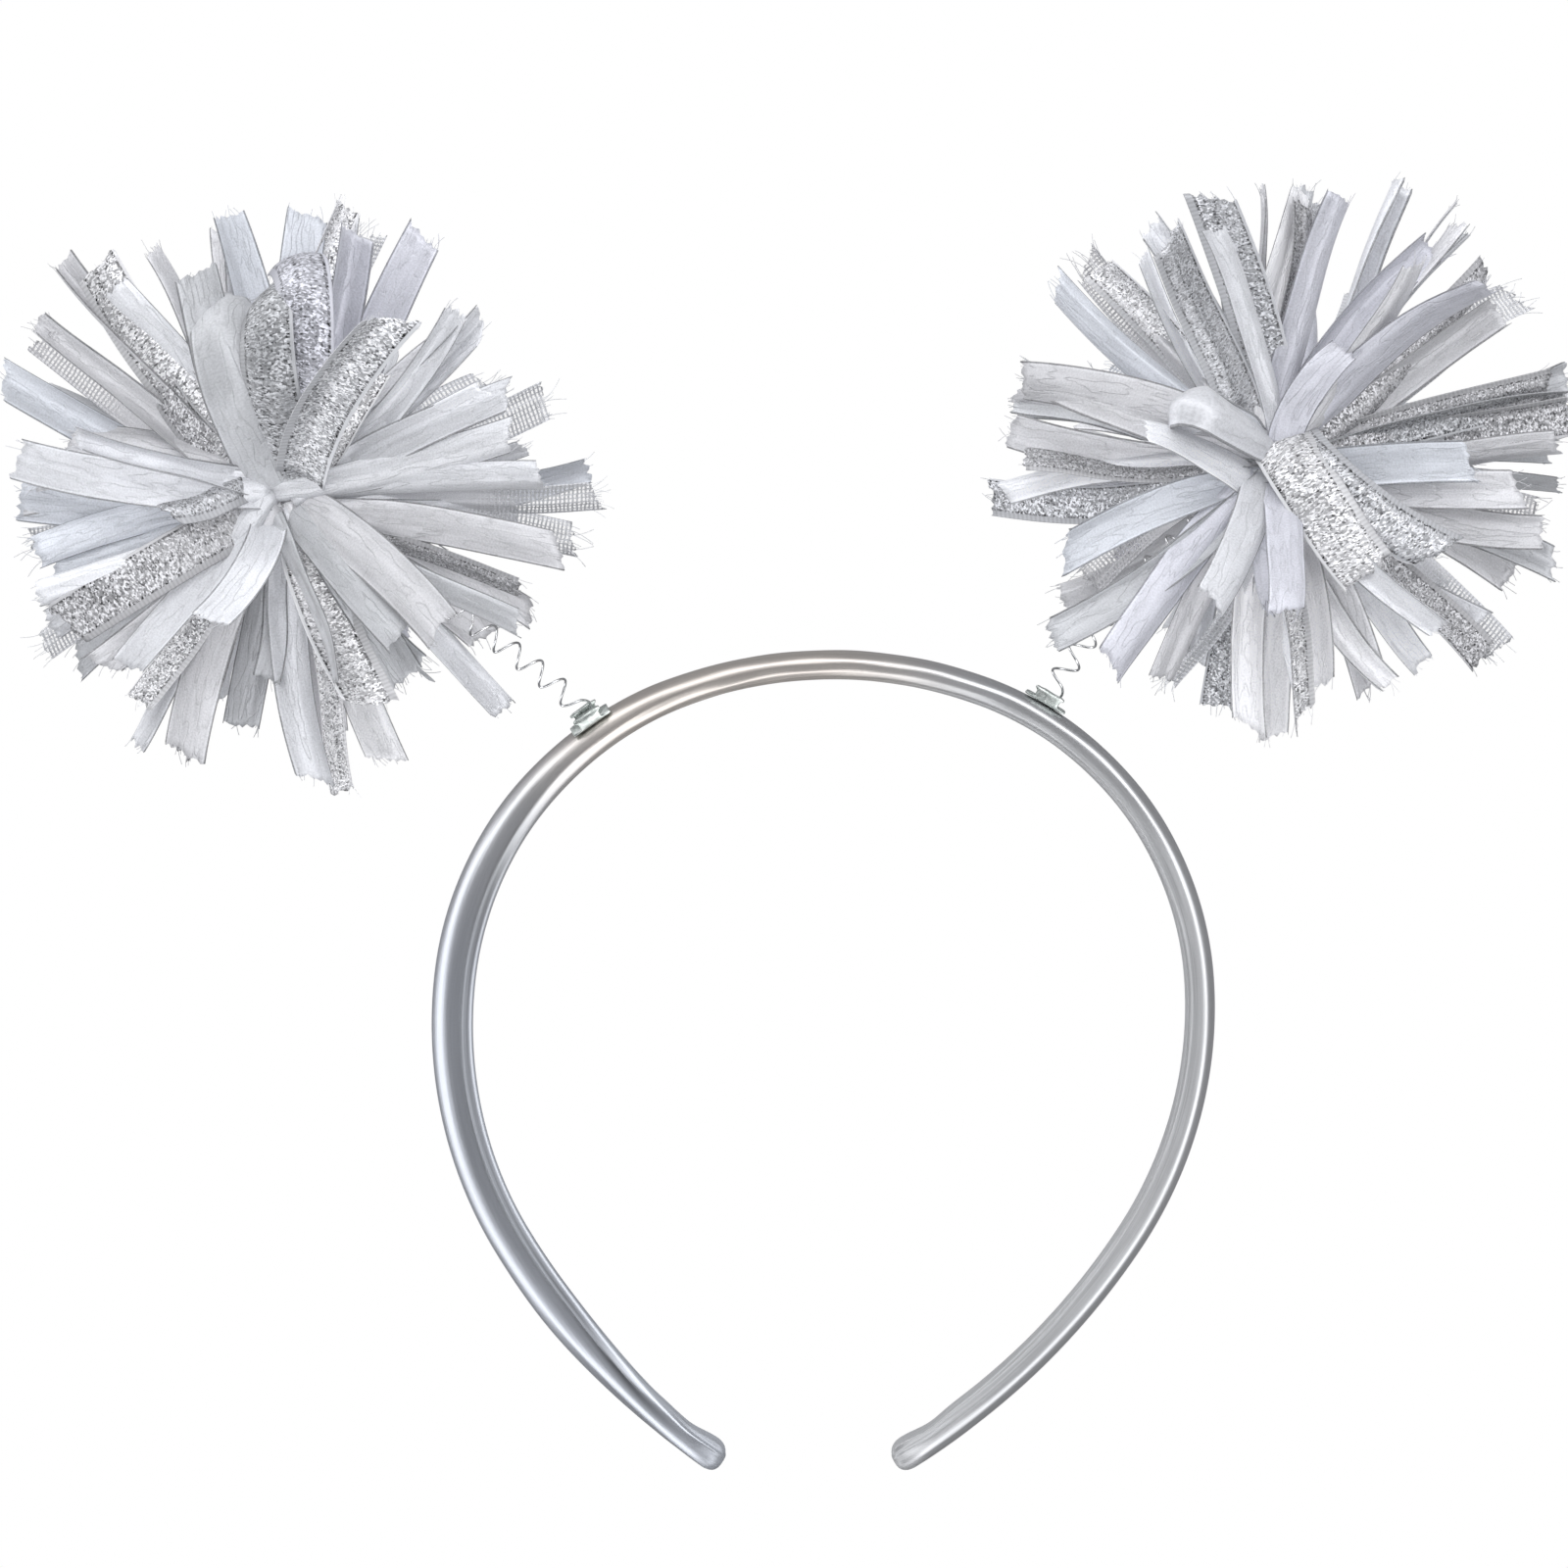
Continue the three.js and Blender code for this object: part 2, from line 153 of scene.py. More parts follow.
# Pompoms, as in the solid model. A side's reach is from the clip to the pompom's middle, its lean is from
# upright, and leave is the share of the reach over which the spring still points out of the band.
HEAD_DIAMETER = 14
SOCKET_DEPTH = 3.5
RIBBON_LENGTH = 48
RIBBON_WIDTH = 6.35
HALF_RIBBON = RIBBON_WIDTH / 2
SIDES = {
    "left": {"side": -1, "reach": 60.9, "lean": 53.9, "leave": 0.16},
    "right": {"side": 1, "reach": 52.7, "lean": 44, "leave": 0.5},
}

# The cloth of the ribbons. They are tied within a small distance of each other, the more to the front the
# more they point there. Each is rolled up through the root's roll at the tie, one near the viewer through a
# share of it, and opens over the first share of its length. One that bends by more than an arch's bend is
# rolled outwards by the arch's roll, and one that bends by more than a loop's is tied at both ends. Where
# one points at the viewer, its flat face is turned upwards instead.
RIBBON_THICKNESS = 0.16
ROOT_SPREAD = 1.3
ROOT_FORWARD = 2.6
ROOT_ROLL = 230
NEAR_ROLL = 0.3
NEAR_TOWARD = (24, 42)
OPEN_AT = 0.5
LOOP_BEND = 150
ARCH_BEND = 70
ARCH_ROLL = 80
CORE_DIAMETER = 6.4
CORE_PLEATS, CORE_PLEAT = 15, 0.07
CORE_FOLDS, CORE_FOLD = 7, 0.05
END_ON = 0.96

# What differs by chance from ribbon to ribbon, at least and at most: how bright its dye is, the angle it is
# rolled through and to which side, its twist, its bow to one side, a crease's slope and place, its ribs and
# wave with a phase each, and the slant of its cut end. Then the fray of each point of the end, the share of
# the length at which a bow is back in line, the depth of the ribs and the number of waves.
DYE_VARIES = (0.9, 1.08)
ROLLS = {"satin": (30, 170), "glitter": (20, 100), "net": (20, 110)}
ROLL_SIDE = (-0.4, 0.6)
VARIES = {
    "twist": (-46, 46),
    "bow": (-12, 12),
    "crease": (-1.7, 1.7),
    "crease_at": (-0.4, 0.4),
    "ribs": (2.2, 4.2),
    "rib_phase": (0, 2 * math.pi),
    "wave": (0.2, 0.9),
    "wave_phase": (0, 2 * math.pi),
    "slant": (-1.8, 1.8),
}
FRAY = (-0.5, 0.5)
BOW_RETURN = 0.65
RIB_DEPTH = 0.05
WAVES = 1.3

# The loose threads: how many a ribbon has and how far they reach at most, then their radius, the share of
# the ribbon at which they start and the share over which they still follow it, how near its edges they
# stand, how the square root of their reach varies, how far they fan and curl for each millimetre of it, and
# how far along its cloth a thread runs.
THREADS = {"satin": (7, 2.6), "glitter": (9, 2.6), "net": (14, 4.2)}
THREAD_RADIUS = 0.055
THREAD_START = 0.965
THREAD_HOLD = 0.02
THREAD_SPREAD = 0.98
THREAD_REACH = (0.3, 1.0)
THREAD_FAN = 0.35
THREAD_CURL = 0.3
THREAD_CLOTH = 3

# How finely the surfaces are drawn, in stations along them and points round them. The band's direction is
# taken over a small turn, and the turn of a clip's seat is looked for among many within half a leg.
BAND_STATIONS, BAND_ROUND = 620, 72
CORE_STATIONS, CORE_ROUND = 40, 96
THREAD_STATIONS, THREAD_ROUND = 6, 4
TIP_STATIONS = 9
BEND_STATIONS = 9
SHEET_PARTS = 4
SHEET_ROUND = 28
SPRING_STATIONS = 801
WIRE_STATIONS_A_TURN = 30
WIRE_ROUND = 10
TURN_STEP = 0.002
SEAT_TURNS = 4001
SEAT_WITHIN = 0.5
POLE = 0.02

# A ribbon's stations crowd a little to its cut end by a power. Its points across lie up to a share of half
# its width from the middle, with one more on each edge. The way round a spring is looked for first at every
# few of its stations, with a margin, and then at all of them.
RIBBON_STATIONS = 32
STATION_POWER = 0.9
STRIP_POINTS = 12
STRIP_EDGE = 0.96
WAY_STATIONS = 90
WAY_STEP = 6
WAY_MARGIN = 3

# The edges of the ribbons, each from one share of half their width to another: the satin's bright line and
# its dark line, part woven edge and part painted shadow between ribbons, the glitter's seam and hem on one
# edge and its gap, a dark line of partly painted shade, and cord on the other, and the net's edge. Then the
# shares of its length over which a net ribbon wears thin and any ribbon's cut end frays, and how far along
# the cloth each ribbon lies from the last one.
SATIN_BRIGHT = (0.8, 0.86)
SATIN_EDGE_AND_SHADOW = (0.91, 0.94)
GLITTER_SEAM = (0.6, 0.66)
GLITTER_HEM = (0.7, 0.76)
GLITTER_GAP_AND_SHADE = (0.76, 0.8)
GLITTER_CORD = (0.86, 0.9)
NET_EDGE = (0.86, 0.9)
NET_WORN = (0.55, 0.78)
CUT_SHARE = (0.86, 1)
CLOTH_STEP = 61.7

# Colours. The cover is warmer about the crown, over a reach from a middle along the band, and cooler on the
# left leg, between two places along it.
COVER_TINT = (0.67, 0.68, 0.69, 1)
WARM_TINT = (0.72, 0.67, 0.62, 1)
COOL_TINT = (0.61, 0.64, 0.69, 1)
WARM_SPAN = (-18, 45)
COOL_SPAN = (50, 90)
ZINC_DULL = (0.6, 0.65, 0.62, 1)
ZINC_RUBBED = (0.9, 0.94, 0.91, 1)
STEEL_TARNISHED = (0.6, 0.61, 0.62, 1)
STEEL_CLEAN = (0.86, 0.87, 0.88, 1)
FLOOR_PAINT = (0.55, 0.55, 0.55, 1)
WHITE = (1, 1, 1, 1)
DYES = {
    "white": (0.86, 0.87, 0.9),
    "pale": (0.76, 0.77, 0.8),
    "bluish": (0.69, 0.715, 0.765),
    "lilac": (0.62, 0.625, 0.68),
    "grey": (0.67, 0.67, 0.69),
    "dark": (0.56, 0.57, 0.59),
    "bright": (0.98, 0.98, 1.0),
}

# What the object is lit by, apart from its lamps: the room as it fills from behind and from the front, the
# room as metal mirrors it, and a bright ring round the object that metal mirrors too. The ring's offset is
# how far behind the object it lies over how far away, elsewhere and on the left side. Each side fades over
# its own breadths before and behind that. Then, as parts of a direction of length 1, how far behind and
# before the fill turns from the one to the other and how far to the left the ring turns to its left side,
# and the shares of a breadth at which the ring is gone and at which it is full.
FILL_BEHIND = (0.82, 0.83, 0.86, 1)
FILL_BEFORE = (1.08, 1.09, 1.12, 1)
ROOM_MIRRORED = (0.24, 0.24, 0.25, 1)
RING_MIRRORED = (2.4, 2.4, 2.45, 1)
RING_OFFSET = (-1.25, 0.36)
RING_BEFORE = (0.9, 0.28)
RING_BEHIND = (1.05, 0.28)
FILL_TURNS = (0.7, -0.8)
RING_TURNS = (-0.1, 0.9)
RING_FADES = (1.0, 0.3)

# The lamps' places, widths, heights and powers, and half the floor's size and its distance under the tips,
# all in metres and watts.
LAMPS = {
    "left": ((-1.0, 0.1, 0.2), 0.5, 1.1, 2.5),
    "right": ((1.0, 0.1, 0.2), 0.5, 1.1, 2.0),
    "top": ((0.0, 0.1, 1.0), 1.1, 0.5, 3.0),
    "front": ((-0.35, -1.0, 0.75), 0.7, 0.5, 2.6),
}
HALF_FLOOR = 6
FLOOR_BELOW = 0.001


def linked(name, data):
    """An object in the scene for some data."""
    made = bpy.data.objects.new(name, data)
    bpy.context.scene.collection.objects.link(made)
    return made


def camera():
    """A long lens on the middle of the photograph, as far off as makes one pixel its known length."""
    width = PHOTO_PIXELS * PIXEL_LENGTH
    middle = PHOTO_PIXELS / 2
    data = bpy.data.cameras.new("camera")
    data.lens = LENS
    data.sensor_width = SENSOR
    made = linked("camera", data)
    across = (middle - ORIGIN_PIXEL[0]) * PIXEL_LENGTH
    up = (ORIGIN_PIXEL[1] - middle) * PIXEL_LENGTH
    made.location = Vector((across, -width * LENS / SENSOR, up)) * METRE
    made.rotation_euler = (math.pi / 2, 0, 0)
    bpy.context.scene.camera = made


camera()


# Arithmetic on arrays of points.

def unit(vectors):
    """Each vector over its own length."""
    return vectors / np.linalg.norm(vectors, axis=-1, keepdims=True)


def dot(a, b):
    """The sum of a times b for each pair of vectors, kept as an axis of one."""
    return np.sum(a * b, axis=-1, keepdims=True)


def lerp(a, b, share):
    """Runs from a to b as a + (b - a) s."""
    return a + (b - a) * share


def smoothstep(value, low, high):
    """Runs from 0 at low to 1 at high as 3s^2 - 2s^3."""
    share = np.clip((value - low) / (high - low), 0, 1)
    return share * share * (3 - 2 * share)


def bell(value, middle, breadth, height):
    """A smooth hill about the middle: height e^-((value - middle) / breadth)^2."""
    return height * np.exp(-((value - middle) / breadth) ** 2)


def signed_power(value, exponent):
    """The size of value to the exponent, with the sign of value."""
    return np.sign(value) * np.abs(value) ** exponent


def turned(vectors, axes, degrees):
    """Vectors turned about unit axes: v cos + (axis x v) sin + axis (axis . v)(1 - cos)."""
    cos = np.cos(np.radians(degrees))
    sin = np.sin(np.radians(degrees))
    return vectors * cos + np.cross(axes, vectors) * sin + axes * dot(axes, vectors) * (1 - cos)


def curve(start, control, end, share):
    """The quadratic curve of three points: start (1 - s)^2 + control 2s (1 - s) + end s^2."""
    return start * (1 - share) ** 2 + control * 2 * share * (1 - share) + end * share ** 2


def run_along(path):
    """How far along a path each of its points lies."""
    return np.concatenate([[0], np.cumsum(np.linalg.norm(np.diff(path, axis=0), axis=1))])


def round_shares(count):
    """Shares of the way round a closed section, with the 1 that closes it."""
    return np.arange(count + 1) / count


# Meshes.

def tubes(name, rings, cloth, **marks):
    """One mesh of closed tubes. Rings has the shape tubes, stations, points round, 3. Neighbouring rings
    are joined by quads, and each end is closed by quads from each point to its mirror image in the ring.
    Cloth gives the map coordinates with one more point round, for the seam. Marks are values per point."""
    count, stations, around = rings.shape[:3]
    index = np.arange(count * stations * around).reshape(count, stations, around)
    wrapped = np.concatenate([index, index[:, :, :1]], axis=2)
    corners = [wrapped[:, :-1, :-1], wrapped[:, :-1, 1:], wrapped[:, 1:, 1:], wrapped[:, 1:, :-1]]
    spots = [cloth[:, :-1, :-1], cloth[:, :-1, 1:], cloth[:, 1:, 1:], cloth[:, 1:, :-1]]
    half = around // 2
    near, far = np.arange(half - 1), around - 1 - np.arange(half - 1)
    caps, cap_spots = [], []
    for ring, order in ((0, (near, far, far - 1, near + 1)), (-1, (near, near + 1, far - 1, far))):
        caps.append(np.stack([index[:, ring, at] for at in order], axis=-1).reshape(-1, 4))
        cap_spots.append(np.stack([cloth[:, ring, at] for at in order], axis=-2).reshape(-1, 4, 2))
    faces = np.concatenate([np.stack(corners, axis=-1).reshape(-1, 4), *caps])
    face_spots = np.concatenate([np.stack(spots, axis=-2).reshape(-1, 4, 2), *cap_spots])
    points = rings.reshape(-1, 3)
    a, b, c, d = (points[faces[:, k]] for k in range(4))
    if np.sum(a * np.cross(b, c)) + np.sum(a * np.cross(c, d)) < 0:
        faces = faces[:, ::-1]
        face_spots = face_spots[:, ::-1]
    mesh = bpy.data.meshes.new(name)
    mesh.vertices.add(len(points))
    mesh.vertices.foreach_set("co", (points * METRE).ravel())
    mesh.loops.add(faces.size)
    mesh.loops.foreach_set("vertex_index", faces.ravel())
    mesh.polygons.add(len(faces))
    mesh.polygons.foreach_set("loop_start", np.arange(0, faces.size, 4))
    mesh.polygons.foreach_set("use_smooth", np.ones(len(faces), bool))
    mesh.uv_layers.new(name="cloth").data.foreach_set("uv", face_spots.ravel())
    for mark, values in marks.items():
        coloured = values.ndim > 3
        layer = mesh.attributes.new(mark, "FLOAT_COLOR" if coloured else "FLOAT", "POINT")
        layer.data.foreach_set("color" if coloured else "value", values.astype(np.float32).ravel())
    mesh.update(calc_edges=True)
    return linked(name, mesh)


def seamed(count, girth, along):
    """Map coordinates for one tube, from its number of points round, its girth and its distances along."""
    return np.stack(np.meshgrid(round_shares(count) * girth, along), axis=-1)[None]


def tinted(rings, colours):
    """The dye mark of some tubes: for every point of a tube its colour, with an alpha of 1."""
    tint = np.ones((*rings.shape[:3], 4))
    tint[..., :3] = colours[:, None, None]
    return tint


def round_angles(count):
    """The angles of the points round a section."""
    return round_shares(count)[:-1] * 2 * np.pi


def wire_rings(path, outward, radius, sides):
    """Round sections of one radius carried along paths. Each is drawn in the plane square to the path, from
    the outward direction."""
    along = unit(np.gradient(path, axis=-2))
    out = unit(outward - dot(outward, along) * along)
    over = np.cross(along, out)
    cos, sin = np.cos(round_angles(sides))[:, None], np.sin(round_angles(sides))[:, None]
    return path[..., None, :] + radius * (out[..., None, :] * cos + over[..., None, :] * sin)


def finished(piece, finish, node):
    """Gives a piece its material and its place in the frame."""
    piece.data.materials.append(finish)
    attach(piece, BODY)
    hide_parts(node)


# Materials.

class Wire:
    """A socket that takes part in arithmetic. Each operator adds one Math node and gives its result."""

    def __init__(self, nodes, socket):
        self.nodes = nodes
        self.socket = socket

    def math(self, operation, *others):
        """A Math node's result for this value and any others."""
        return self.nodes.node("Math", {"operation": operation}, dict(enumerate((self, *others))))

    def output(self, name):
        """Another output of the same node."""
        return Wire(self.nodes, self.socket.node.outputs[name])

    def __add__(self, other):
        return self.math("ADD", other)

    def __sub__(self, other):
        return self.math("SUBTRACT", other)

    def __rsub__(self, other):
        return self.math("MULTIPLY_ADD", -1.0, other)

    def __mul__(self, other):
        return self.math("MULTIPLY", other)

    def __truediv__(self, other):
        return self.math("DIVIDE", other)

    def __neg__(self):
        return self.math("MULTIPLY", -1.0)

    def __abs__(self):
        return self.math("ABSOLUTE")

    __radd__ = __add__


class Nodes:
    """A node tree, built by expressions on its sockets."""

    def __init__(self, tree):
        self.tree = tree

    def connect(self, socket, value):
        """Links a socket, or gives it its own value."""
        value = value.socket if isinstance(value, Wire) else value
        if isinstance(value, bpy.types.NodeSocket):
            self.tree.links.new(value, socket)
        else:
            socket.default_value = value

    def node(self, kind, settings=None, sockets=None):
        """Adds a node of a type, sets it up, then gives its sockets their values or links."""
        made = self.tree.nodes.new("ShaderNode" + kind)
        for name, value in (settings or {}).items():
            setattr(made, name, value)
        for name, value in (sockets or {}).items():
            self.connect(made.inputs[name], value)
        return Wire(self, next(socket for socket in made.outputs if socket.enabled))

    def ease(self, value, low, high):
        """0 below low, 1 above high, and a smooth step between them."""
        sockets = {"Value": value, "From Min": low, "From Max": high}
        return self.node("MapRange", {"interpolation_type": "SMOOTHSTEP"}, sockets)

    def mixed(self, factor, a, b):
        """Colour a, turning to colour b as the factor rises."""
        return self.node("Mix", {"data_type": "RGBA"}, {0: factor, 6: a, 7: b}).output(2)

    def vector(self, operation, *values):
        """A Vector Math node's result."""
        return self.node("VectorMath", {"operation": operation}, dict(enumerate(values)))

    def scaled(self, vector, strength):
        """A colour or a vector times a value."""
        return self.node("VectorMath", {"operation": "SCALE"}, {0: vector, "Scale": strength})


class Finish(Nodes):
    """A material with one Principled surface."""

    def __init__(self, name):
        self.material = bpy.data.materials.new(name)
        self.material.use_nodes = True
        super().__init__(self.material.node_tree)
        self.surface = self.tree.nodes["Principled BSDF"]

    def set(self, **sockets):
        """Sets or links sockets of the surface, with underscores for the blanks in their names. Gives the
        material."""
        for name, value in sockets.items():
            self.connect(self.surface.inputs[name.replace("_", " ")], value)
        return self.material

    def bump(self, height, depth):
        """A normal for a height between 0 and 1, which stands for depth in millimetres."""
        return self.node("Bump", {}, {"Height": height, "Strength": 1.0, "Distance": depth * METRE})


class ClothFinish(Finish):
    """A finish that follows the distances across and along a piece's cloth, in millimetres."""

    def __init__(self, name):
        super().__init__(name)
        self.across = self.node("SeparateXYZ", {}, {0: self.node("UVMap", {"uv_map": "cloth"})})
        self.along = self.across.output("Y")

    def place(self, across, along):
        """The place on the cloth with so many units a millimetre across and along it."""
        return self.node("CombineXYZ", {}, {0: self.across * across, 1: self.along * along})

    def noise(self, across, along, detail=2.0):
        """Smooth noise between 0 and 1 with about so many lumps a millimetre across and along the cloth."""
        sockets = {"Vector": self.place(across, along), "Scale": 1.0, "Detail": detail}
        return self.node("TexNoise", {}, sockets)

    def mark(self, name):
        """A value that the mesh has at each point."""
        return self.node("Attribute", {"attribute_name": name}).output("Fac")

    def dyed(self, shade):
        """The ribbon's dye times a shade."""
        return self.scaled(self.node("Attribute", {"attribute_name": "dye"}), shade)


def satin_ribbon_finish():
    """Fine warp lines, broader streaks and thin creases run the length of the strip over a woven grain. The
    creases are bumped and also darkened with painted shade. Its edge is a bright line with a dark one
    outside it, partly the woven edge and partly painted shadow between ribbons."""
    finish = ClothFinish("satin_ribbon")
    warp = finish.noise(6.0, 0.2)
    streaks = finish.noise(1.1, 0.07, 3.0)
    clouds = finish.noise(0.4, 0.16, 3.0)
    grain = finish.noise(3.6, 3.2, 3.0)
    # Thin fold lines: a bump, and painted shade that darkens the colour along them.
    folds = finish.ease(abs(finish.noise(0.6, 0.11) - 0.5), 0.025, 0.0)
    rim = abs(finish.across) / HALF_RIBBON
    bright = finish.ease(rim, *SATIN_BRIGHT)
    # The dark line at the edge is partly the woven edge and partly painted shadow between ribbons.
    dark = finish.ease(rim, *SATIN_EDGE_AND_SHADOW)
    woven = 0.33 + warp * 0.14 + streaks * 0.34 + clouds * 0.34 + grain * 0.64
    height = warp * 0.3 + streaks * 0.8 + grain * 0.2 - folds * 0.5
    return finish.set(
        Base_Color=finish.dyed(woven + bright * 0.15 - dark * 0.68 - folds * 0.11),
        Roughness=0.3 + streaks * 0.16 + grain * 0.1,
        Metallic=0.2,
        Sheen_Weight=0.2,
        Sheen_Roughness=0.4,
        Normal=finish.bump(height, 0.1),
    )


def glitter_ribbon_finish():
    """Flat metal yarn woven crosswise between a smooth hem, ticked with its weft, on one edge and a white
    cord on the other. The yarn is fine cells of random tilt, its brightest cells lifted to painted glints
    and others made darker at random, with a soft crease darkened by painted shade. The gap beside the cord
    is a dark line of partly painted shade."""
    finish = ClothFinish("glitter_ribbon")
    cells = finish.node("TexVoronoi", {}, {"Vector": finish.place(3.6, 4.2), "Scale": 1.0})
    colour = cells.output("Color")
    level = finish.node("SeparateColor", {}, {0: colour})
    grain = finish.noise(4.0, 5.0)
    clouds = finish.noise(0.5, 0.25)
    # Painted glints: the brightest cells are lifted towards white in the colour.
    painted_glints = finish.ease(level * 0.8 + grain * 0.4 + clouds * 0.3, 0.66, 1.0)
    # Cells made darker at random.
    darker_cells = finish.ease(level.output("Green") + grain * 0.3, 0.42, 0.28)
    edge = finish.across / HALF_RIBBON
    hem = finish.ease(edge, *GLITTER_HEM)
    cord = finish.ease(-edge, *GLITTER_CORD)
    # The gap beside the cord: partly a woven dark line, partly painted shade.
    gap_and_painted_shade = finish.ease(-edge, *GLITTER_GAP_AND_SHADE) - cord
    dots = finish.ease((finish.along * 9.0).math("SINE"), -0.2, 0.4)
    seam = (finish.ease(edge, *GLITTER_SEAM) - hem) * (0.5 + dots * 0.5)
    # A soft crease, darkened with painted shade along it.
    crease = finish.ease(abs(edge + clouds * 0.4 - 0.3), 0.1, 0.0)
    plain = hem.math("MAXIMUM", cord)
    ticks = hem * dots * 0.12
    yarn = 0.59 + painted_glints * 0.68 - darker_cells * 0.37 - crease * 0.14
    shade = yarn * (1.0 - plain) + hem * 0.76 + cord * 0.92 - ticks - seam * 0.36 - gap_and_painted_shade * 0.34
    tilt = finish.scaled(finish.vector("SUBTRACT", colour, (0.5, 0.5, 0.5)), 0.45 - plain * 0.4)
    leaned = finish.vector("ADD", finish.node("NewGeometry").output("Normal"), tilt)
    return finish.set(
        Base_Color=finish.dyed(shade),
        Roughness=0.3 + grain * 0.2,
        Metallic=0.36 - plain * 0.2,
        Normal=finish.vector("NORMALIZE", leaned),
    )


def net_ribbon_finish():
    """Where the strip is worn, only its rungs of crosswise thread, a few long threads and its edges are
    left."""
    finish = ClothFinish("net_ribbon")
    worn = finish.mark("worn")
    drift = finish.noise(0.5, 0.5)
    rungs = finish.ease((finish.along * 9.2 + drift * 5.0).math("SINE"), 0.0, 0.35)
    warps = finish.ease((finish.across * 8.0 + drift * 2.0).math("SINE"), 0.7, 0.95)
    edge = finish.ease(abs(finish.across) / HALF_RIBBON, *NET_EDGE)
    threads = rungs.math("MAXIMUM", warps.math("MAXIMUM", edge))
    grain = finish.noise(4.0, 6.0)
    return finish.set(
        Base_Color=finish.dyed(0.62 + grain * 0.65 - rungs * worn * 0.25),
        Roughness=0.34 + grain * 0.2,
        Metallic=0.4,
        Alpha=1.0 - worn * (1.0 - threads) * 0.9,
        Normal=finish.bump(grain, 0.05),
    )


def thread_finish():
    """Loose ends of pale nylon."""
    finish = ClothFinish("loose_thread")
    return finish.set(
        Base_Color=finish.dyed(0.8 + finish.noise(1.0, 2.0) * 0.35),
        Roughness=0.35,
        Metallic=0.2,
    )


def cover_finish():
    """Close satin woven with metal thread: fine ribs along the band, faint creases and a duller seam. It is
    warm about the crown, cool on the left leg and rougher on its inner side. The left leg has a painted
    highlight line with a stripe of painted shade beside it."""
    finish = ClothFinish("cover_satin")
    ribs = finish.noise(3.2, 0.06)
    creases = finish.noise(0.7, 0.04, 3.0)
    weave = finish.noise(3.0, 3.0, 1.0)
    seam, rough, hem, painted_shade = (finish.mark(name) for name in ("seam", "rough", "hem", "painted_shade"))
    satin = 0.76 + creases * 0.24 + ribs * 0.16 + weave * 0.08 - seam * 0.12
    plain = satin - rough * (0.42 - ribs * 0.5)
    # The left leg's pale line is a painted highlight, with less metal and more roughness, and its dark
    # stripe is painted shade.
    shade = plain * (1.0 - painted_shade * 0.7) + hem * 0.8
    middle, reach = WARM_SPAN
    warm = finish.ease(abs(finish.along - middle), reach, reach / 3)
    cool = finish.ease(-finish.along, *COOL_SPAN)
    tint = finish.mixed(cool, finish.mixed(warm, COVER_TINT, WARM_TINT), COOL_TINT)
    return finish.set(
        Base_Color=finish.scaled(tint, shade),
        Roughness=0.24 + creases * 0.08 + weave * 0.06 + rough * 0.2 + hem * 0.2,
        Metallic=0.88 - rough * 0.32 - hem * 0.5,
        Normal=finish.bump(ribs, 0.02),
    )


def zinc_finish():
    """Dull zinc plate: a grey-green cast with cloudy crystals, rubbed brighter here and there. Its patterns
    have so many lumps a metre."""
    finish = Finish("zinc_plate")
    place = finish.node("TexCoord").output("Object")
    clouds = finish.node("TexNoise", {}, {"Vector": place, "Scale": 900.0, "Detail": 4.0})
    crystals = finish.node("TexVoronoi", {}, {"Vector": place, "Scale": 1800.0}).output("Color")
    grain = finish.node("SeparateColor", {}, {0: crystals})
    return finish.set(
        Base_Color=finish.mixed(finish.ease(clouds, 0.45, 0.7), ZINC_DULL, ZINC_RUBBED),
        Roughness=0.3 + grain * 0.2,
        Metallic=0.95,
        Normal=finish.bump(clouds, 0.06),
    )


def steel_finish():
    """Drawn steel wire: fine lines along it and a little tarnish."""
    finish = ClothFinish("spring_steel")
    lines = finish.noise(20.0, 0.4)
    clean = finish.ease(finish.noise(0.6, 0.25, 3.0), 0.42, 0.6)
    return finish.set(
        Base_Color=finish.mixed(clean, STEEL_TARNISHED, STEEL_CLEAN),
        Roughness=0.08 + lines * 0.12,
        Metallic=1.0,
        Normal=finish.bump(lines, 0.01),
    )


# Headband.

HALF_LENGTH = sum(radius * math.radians(sweep) for radius, sweep in BAND_ARCS.values())


def band_line(turn):
    """The band's middle line. Each arc of radius r takes the heading h on to h + a, and moves across by
    r (sin(h + a) - sin h) and up by r (cos(h + a) - cos h). The tips sway by the square of the turn, which
    is 0 at the crown, -1 at the left tip and 1 at the right one."""
    left = np.abs(turn) * HALF_LENGTH
    across = np.zeros_like(left)
    up = np.full_like(left, BAND_THICKNESS / 2)
    heading = 0.0
    for arc, (radius, sweep) in BAND_ARCS.items():
        swept = np.clip(left / radius, 0, None if arc == "tip" else math.radians(sweep))
        across += radius * (np.sin(heading + swept) - np.sin(heading))
        up += radius * (np.cos(heading + swept) - np.cos(heading))
        heading += math.radians(sweep)
        left = left - swept * radius
    return np.stack([np.sign(turn) * across + LEG_SWAY * turn ** 2, np.zeros_like(across), up], axis=-1)


def band_frame(turn):
    """Place on the middle line, direction along it and the way out of the band's ring."""
    along = unit(band_line(turn + TURN_STEP) - band_line(turn - TURN_STEP))
    return band_line(turn), along, unit(np.cross(FRONT, along))


def leaned_frame(turn):
    """Place and direction, then the ways out and forward with the strip turned about its length, so that
    its outer face shows from the front."""
    place, along, out = band_frame(turn)
    far = np.abs(turn)
    leg = lerp(CROWN_LEAN, np.where(turn < 0, LEFT_LEAN, RIGHT_LEAN), smoothstep(far, 0, LEAN_FULL_AT))
    lean = lerp(leg, TIP_LEAN, smoothstep(far, LEAN_FADES_AT, 1))[:, None]
    forward = np.broadcast_to(FRONT, out.shape)
    return place, along, turned(out, along, lean), turned(forward, along, lean)


